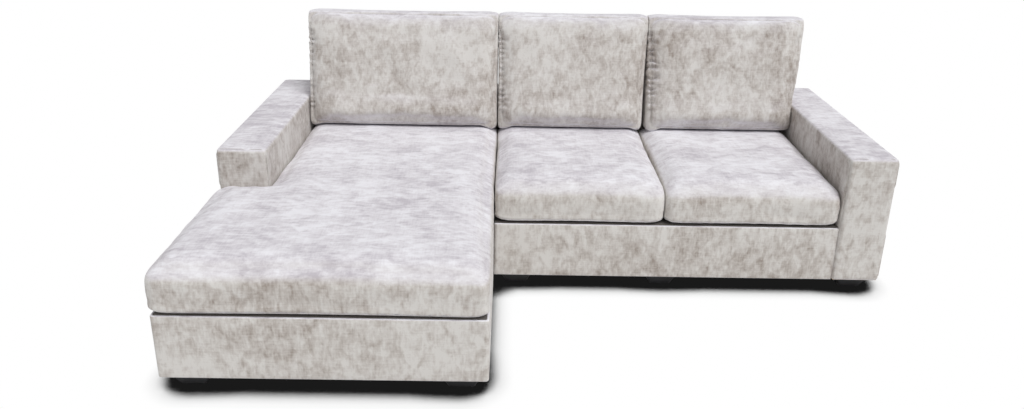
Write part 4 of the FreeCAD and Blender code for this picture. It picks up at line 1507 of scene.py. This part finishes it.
@dataclass
class BaseBorder:
    """The padded border of a base, wrapped round its corners and rolled over top and bottom."""

    unit: str
    nodes: tuple[str, ...]
    route: tuple[tuple[float, float], ...]
    fullness: tuple[float, ...]
    corner: float = 0.012
    low: float = 0.055
    high: float = 0.280           # rolled under the front of the cushion, 4 mm below the deck
    edge: float = 0.004           # radius of the roll over top and bottom
    cloth_depth: float = 0.008

    def build(self, cloth: Material) -> Object:
        """Sweep the border's section along its route.

        The route runs with the outside of the base on its right.

        Args:
            cloth: the border's finish.

        Returns:
            The border.
        """
        stations, profile = self.stations(), self.profile()
        rows = []
        for spot, side, swell in stations:
            for depth, height, free in profile:
                reach = -depth + free * swell
                rows.append((spot[0] + side[0] * reach, spot[1] + side[1] * reach, height))
        count, ring = len(stations), len(profile)
        faces: list[Sequence[int]] = []
        for row in range(count - 1):
            for spot in range(ring):
                beside = (spot + 1) % ring
                faces.append((row * ring + spot, row * ring + beside,
                              (row + 1) * ring + beside, (row + 1) * ring + spot))
        faces.append(tuple(range(ring - 1, -1, -1)))
        faces.append(tuple((count - 1) * ring + spot for spot in range(ring)))
        piece = mesh_object(self.unit + "_border", np.array(rows), faces)
        with edited(piece.data) as form:
            bmesh.ops.recalc_face_normals(form, faces=form.faces)
        attach(piece, cloth, self.unit + "_unit", "upholstery", *self.nodes)
        return piece

    def stations(self) -> list[tuple[Vector, Vector, float]]:
        """Lay stations along the route and round its corners.

        Returns:
            Place, outward direction and fullness of each.
        """
        laid = []
        route = [Vector(spot) for spot in self.route]
        ways = [(end - start).normalized() for start, end in zip(route, route[1:])]
        for index, way in enumerate(ways):
            turns = index < len(ways) - 1
            side = Vector((way.y, -way.x))
            first = route[index] + way * (self.corner if index else 0.0)
            last = route[index + 1] - way * (self.corner if turns else 0.0)
            steps = max(int((last - first).length / 0.014), 2)
            for share in (step / steps for step in range(steps + 1)):
                swell = self.fullness[index] * (1 - abs(2 * share - 1) ** 6)
                laid.append((first.lerp(last, share), side, swell))
            if turns:
                next_side = Vector((ways[index + 1].y, -ways[index + 1].x))
                for angle in (step / 4 * QUARTER_TURN for step in (1, 2, 3)):
                    arm = side * math.cos(angle) + next_side * math.sin(angle)
                    laid.append((last + (arm - side) * self.corner, arm, 0.0))
        return laid

    def profile(self) -> list[Triple]:
        """Draw the section.

        Returns:
            Depth behind the face, height and share of the fullness of each point.
        """
        turn = self.edge
        angles = [step / 3 * QUARTER_TURN for step in range(4)]
        section = [(turn - turn * math.sin(angle), self.low + turn - turn * math.cos(angle), 0.0)
                   for angle in angles]
        for share in np.linspace(0.06, 0.94, 15):
            height = self.low + turn + (self.high - self.low - 2 * turn) * share
            section.append((0.0, height, 1 - abs(2 * share - 1) ** 4))
        section += [(turn - turn * math.cos(angle), self.high - turn + turn * math.sin(angle), 0.0)
                    for angle in angles]
        return section + [(self.cloth_depth, self.high, 0.0), (self.cloth_depth, self.low, 0.0)]


@dataclass
class SoftSlab:
    """A pad or a set of straps: the solid's own form with its edges rounded."""

    node: str
    ending: str
    body: str
    slot: str
    radius: float = 0.004
    segments: int = 3
    fill: Optional[float] = 0.95  # none where nothing fills it
    broad: float = 0.0008         # faces of this area and more are shaded flat

    def build(self, finish: Material) -> Object:
        """Soften the solid's own form and dress it.

        Args:
            finish: its finish.

        Returns:
            The slab.
        """
        source = joined_copy(self.node)
        with edited(source) as form:
            bmesh.ops.dissolve_limit(form, angle_limit=math.radians(1), verts=form.verts, edges=form.edges)
        piece = into_scene(self.node + self.ending, source)
        reshape(piece, "BEVEL", width=self.radius, segments=self.segments, limit_method="ANGLE")
        for face in piece.data.polygons:
            face.use_smooth = face.area < self.broad
        attach(piece, finish, self.body, self.slot, self.node)
        return piece


@dataclass
class DustSheet:
    """The cloth stapled under a base, with a slight hang between the rails."""

    unit: str
    sag: float = 0.005
    spacing: float = 0.03
    margin: float = 0.16          # held flat this far in from its edges
    thickness: float = 0.0008

    def build(self, cloth: Material) -> Object:
        """Make the sheet.

        Args:
            cloth: its finish.

        Returns:
            The sheet.
        """
        node = self.unit + "_dust_sheet"
        low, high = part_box(node)
        across, along = (np.linspace(low[axis], high[axis], int((high[axis] - low[axis]) / self.spacing) + 2)
                         for axis in (0, 1))
        points = []
        for y in along:
            for x in across:
                edge = min(x - low.x, high.x - x, y - low.y, high.y - y)
                hang = float(smooth_step(np.array((edge - self.margin) / 0.2)))
                points.append((x, y, (low.z + high.z) / 2 - self.sag * hang))
        width = len(across)
        faces = [(row * width + spot, row * width + spot + 1, (row + 1) * width + spot + 1,
                  (row + 1) * width + spot) for row in range(len(along) - 1) for spot in range(width - 1)]
        piece = mesh_object(self.unit + "_dust_cloth", np.array(points), faces)
        reshape(piece, "SOLIDIFY", thickness=self.thickness, offset=0.0)
        attach(piece, cloth, self.unit + "_unit", "dust_cloth", node)
        return piece


# The stage and the whole object


@dataclass(frozen=True)
class Stage:
    """Plain pale floor, a soft lamp and the camera."""

    camera_place: Triple = (-0.2037, -3.0101, 1.65605)
    yaw: float = 0.47
    pitch: float = 19.62
    roll: float = 1.08
    lens: float = 28.37
    sensor: float = 36.0
    shift_y: float = -0.0645
    floor_reach: float = 9.0
    world_light: float = 0.38
    key_light: float = 2.15
    key_bearing: float = 39.0     # to the right of the camera's side
    key_height: float = 58.0
    key_spread: float = 32.0      # wide, for soft shadows

    def build(self) -> None:
        """Set the stage."""
        self.place_camera()
        self.lay_floor()
        self.light_world()
        self.hang_lamp()

    def place_camera(self) -> None:
        """Put the camera where the photograph was taken from."""
        yaw, pitch, roll = (math.radians(angle) for angle in (self.yaw, self.pitch, self.roll))
        ahead = Vector((math.sin(yaw) * math.cos(pitch), math.cos(yaw) * math.cos(pitch), -math.sin(pitch)))
        right = Vector((math.cos(yaw), -math.sin(yaw), 0))
        up = right.cross(ahead)
        turned = right * math.cos(roll) + up * math.sin(roll)
        upward = up * math.cos(roll) - right * math.sin(roll)
        camera = bpy.data.cameras.new("camera")
        camera.lens = self.lens
        camera.sensor_width = self.sensor
        camera.sensor_fit = "HORIZONTAL"
        camera.shift_y = self.shift_y
        matrix = Matrix((turned, upward, -ahead)).transposed().to_4x4()
        matrix.translation = Vector(self.camera_place)
        holder = into_scene("camera", camera)
        holder.matrix_world = matrix
        bpy.context.scene.camera = holder

    def lay_floor(self) -> None:
        """Lay a pale floor that shows white to the camera and keeps a contact shadow."""
        corners = [(x * self.floor_reach, y * self.floor_reach, 0.0)
                   for x, y in ((-1, -1), (1, -1), (1, 1), (-1, 1))]
        floor = mesh_object("studio_floor", np.array(corners), [(0, 1, 2, 3)])
        floor.data.materials.append(StudioFloor().build())

    def light_world(self) -> None:
        """Light an even pale surround, white to the camera."""
        world = bpy.data.worlds.new("studio")
        world.use_nodes = True
        tree = world.node_tree
        path = add_node(tree, "ShaderNodeLightPath")
        seen: Socket | float = 0.0
        for ray in ("Is Camera Ray", "Is Glossy Ray", "Is Transmission Ray"):
            seen = add_node(tree, "ShaderNodeMath", {"operation": "MAXIMUM"},
                            {0: path.outputs[ray], 1: seen}).outputs[0]
        strength = add_node(tree, "ShaderNodeMix", {"data_type": "FLOAT"}, {
            0: seen, 2: self.world_light, 3: 1.0})
        background = tree.nodes["Background"]
        background.inputs["Color"].default_value = linear("FFFFFF")
        tree.links.new(strength.outputs[0], background.inputs["Strength"])
        bpy.context.scene.world = world

    def hang_lamp(self) -> None:
        """Hang a broad distant lamp on the upper right."""
        lamp = bpy.data.lights.new("key", "SUN")
        lamp.energy = self.key_light
        lamp.angle = math.radians(self.key_spread)
        bearing, height = math.radians(self.key_bearing), math.radians(self.key_height)
        away = Vector((math.sin(bearing) * math.cos(height), -math.cos(bearing) * math.cos(height),
                       math.sin(height)))
        into_scene("key", lamp).rotation_euler = away.to_track_quat("Z", "Y").to_euler()


def put_on(frame: dict, nodes: Iterable[str], finish: Material) -> None:
    """Give solids a finish in place of their plain one.

    Args:
        frame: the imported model.
        nodes: the solids.
        finish: the finish.
    """
    for node in nodes:
        mesh = frame["nodes"][node].data
        mesh.materials.clear()
        mesh.materials.append(finish)


def dress_structure(frame: dict) -> None:
    """Finish the timber, plywood, feet and fittings.

    Args:
        frame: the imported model.
    """
    grain = {
        Axis.X: ("front_rail", "rear_rail", "cross_bearers", "corner_blocks", "back_rails"),
        Axis.Y: ("outer_rail", "inner_rail"),
        Axis.Z: ("back_posts",),
    }
    for axis, boards in grain.items():
        pine = SawnPine("sawn_pine_" + axis.name.lower(), axis=axis).build()
        put_on(frame, [unit + "_" + board for unit in ("chaise", "sofa") for board in boards], pine)
    put_on(frame, ["left_arm_frame", "right_arm_frame"], Plywood().build())
    feet = [node for node in frame["nodes"] if "_foot_" in node and not node.endswith("bolts")]
    put_on(frame, feet, MouldedPlastic().build())
    put_on(frame, ["chaise_foot_bolts", "sofa_foot_bolts", "chaise_locating_pins",
                   "sofa_locating_plates"], PlatedSteel().build())


def dress_pads() -> None:
    """Replace the foam pads, deck pads, straps and dust sheets."""
    foam = OpenCellFoam().build()
    # The deck lining is a darker grey than its real matching lining: painted shade for the dark gap under the
    # cushions' front edges.
    deck = WovenCloth("deck_lining_darkened_for_shade", "6B6661", "4C4844", 0.003, 0.9).build()
    webbing = WovenCloth("elastic_webbing", "2E2E31", "151517", 0.004, relief=0.0006).build()
    # Black, the usual colour of such cloth, and kept this dark also to deepen the shade seen under the base.
    dust = WovenCloth("bonded_dust_cloth", "1C1C1E", "0C0C0D", 0.003, 0.92).build()
    arms = {"chaise": "left_arm", "sofa": "right_arm"}
    for unit, arm in arms.items():
        for node in (arm + "_foam", unit + "_back_foam"):
            report(SoftSlab(node, "_pad", unit + "_unit", "foam").build(foam))
    for unit in arms:
        report(SoftSlab(unit + "_platform", "_pad", unit + "_unit", "deck_cloth").build(deck))
    for unit in arms:
        report(SoftSlab(unit + "_seat_webbing", "_straps", unit + "_unit", "webbing",
                        0.0006, 2, None).build(webbing))
        report(DustSheet(unit).build(dust))


def report(piece: Object) -> None:
    """Log a finished piece."""
    log.info("%s: %d vertices", piece.name, len(piece.data.vertices))


def build_cushions(cloth: Material) -> None:
    """Build the three seat cushions and the three back cushions.

    Args:
        cloth: the finish of their cases.
    """
    cushions = (
        SeatCushion("chaise_seat_cushion", "chaise_seat", 0.75, seed=11, notch=(-1.106, -0.161),
                    radii=(0.04, 0.04, 0.02, 0.02, 0.02, 0.02), gap_left=0.009,
                    softness=6, proud=0.009, roll_over=0.009, waterfall=0.07),
        SeatCushion("middle_seat_cushion", "middle_seat", 0.75, seed=12),
        SeatCushion("right_seat_cushion", "right_seat", 0.75, seed=13),
        BackCushion("left_back_cushion", "left_back", 0.65, seed=21, puckered=0.6, sag=(0.014, 0.022),
                    gap_right=0.0028,
                    soft_dents=((-0.72, 0.62, 0.10, 0.004), (-0.60, 0.645, 0.07, 0.003),
                                (-0.80, 0.66, 0.06, 0.003))),
        BackCushion("middle_back_cushion", "middle_back", 0.65, seed=22, puckered=0.8,
                    sag=(0.022, 0.022), gap_left=0.0028, gap_right=0.0036),
        BackCushion("right_back_cushion", "right_back", 0.65, seed=23, overhang=0.008,
                    sag=(0.022, 0.014), gap_left=0.0036),
    )
    for cushion in cushions:
        report(cushion.build(cloth))


def build_fixed_upholstery(cloth: Material) -> None:
    """Build the arms, the backs and the borders.

    Args:
        cloth: the finish of their covers.
    """
    chaise_borders = ("chaise_front_border", "chaise_outer_border", "chaise_inner_border")
    chaise_route = ((-1.3, -0.157), (-1.3, -0.843), (-0.245, -0.843), (-0.245, -0.15))
    for piece in (
            Arm(Side.LEFT, "chaise_unit", 31),
            Arm(Side.RIGHT, "sofa_unit", 32),
            BackPanel("chaise", 33),
            BackPanel("sofa", 34),
            BaseBorder("chaise", chaise_borders, chaise_route, (0.003, 0.003, 0.002)),
            BaseBorder("sofa", ("sofa_front_border",), ((-0.243, -0.147), (1.11, -0.147)), (0.003,))):
        report(piece.build(cloth))


def main() -> None:
    """Build the stage and the object, in order."""
    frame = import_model()
    bpy.context.scene.view_settings.view_transform = "Standard"
    Stage().build()
    cloth = CrushedChenille().build()
    dress_structure(frame)
    dress_pads()
    build_fixed_upholstery(cloth)
    build_cushions(cloth)


if __name__ == "__main__":
    logging.basicConfig(level=logging.INFO, format="%(name)s: %(message)s")
    main()
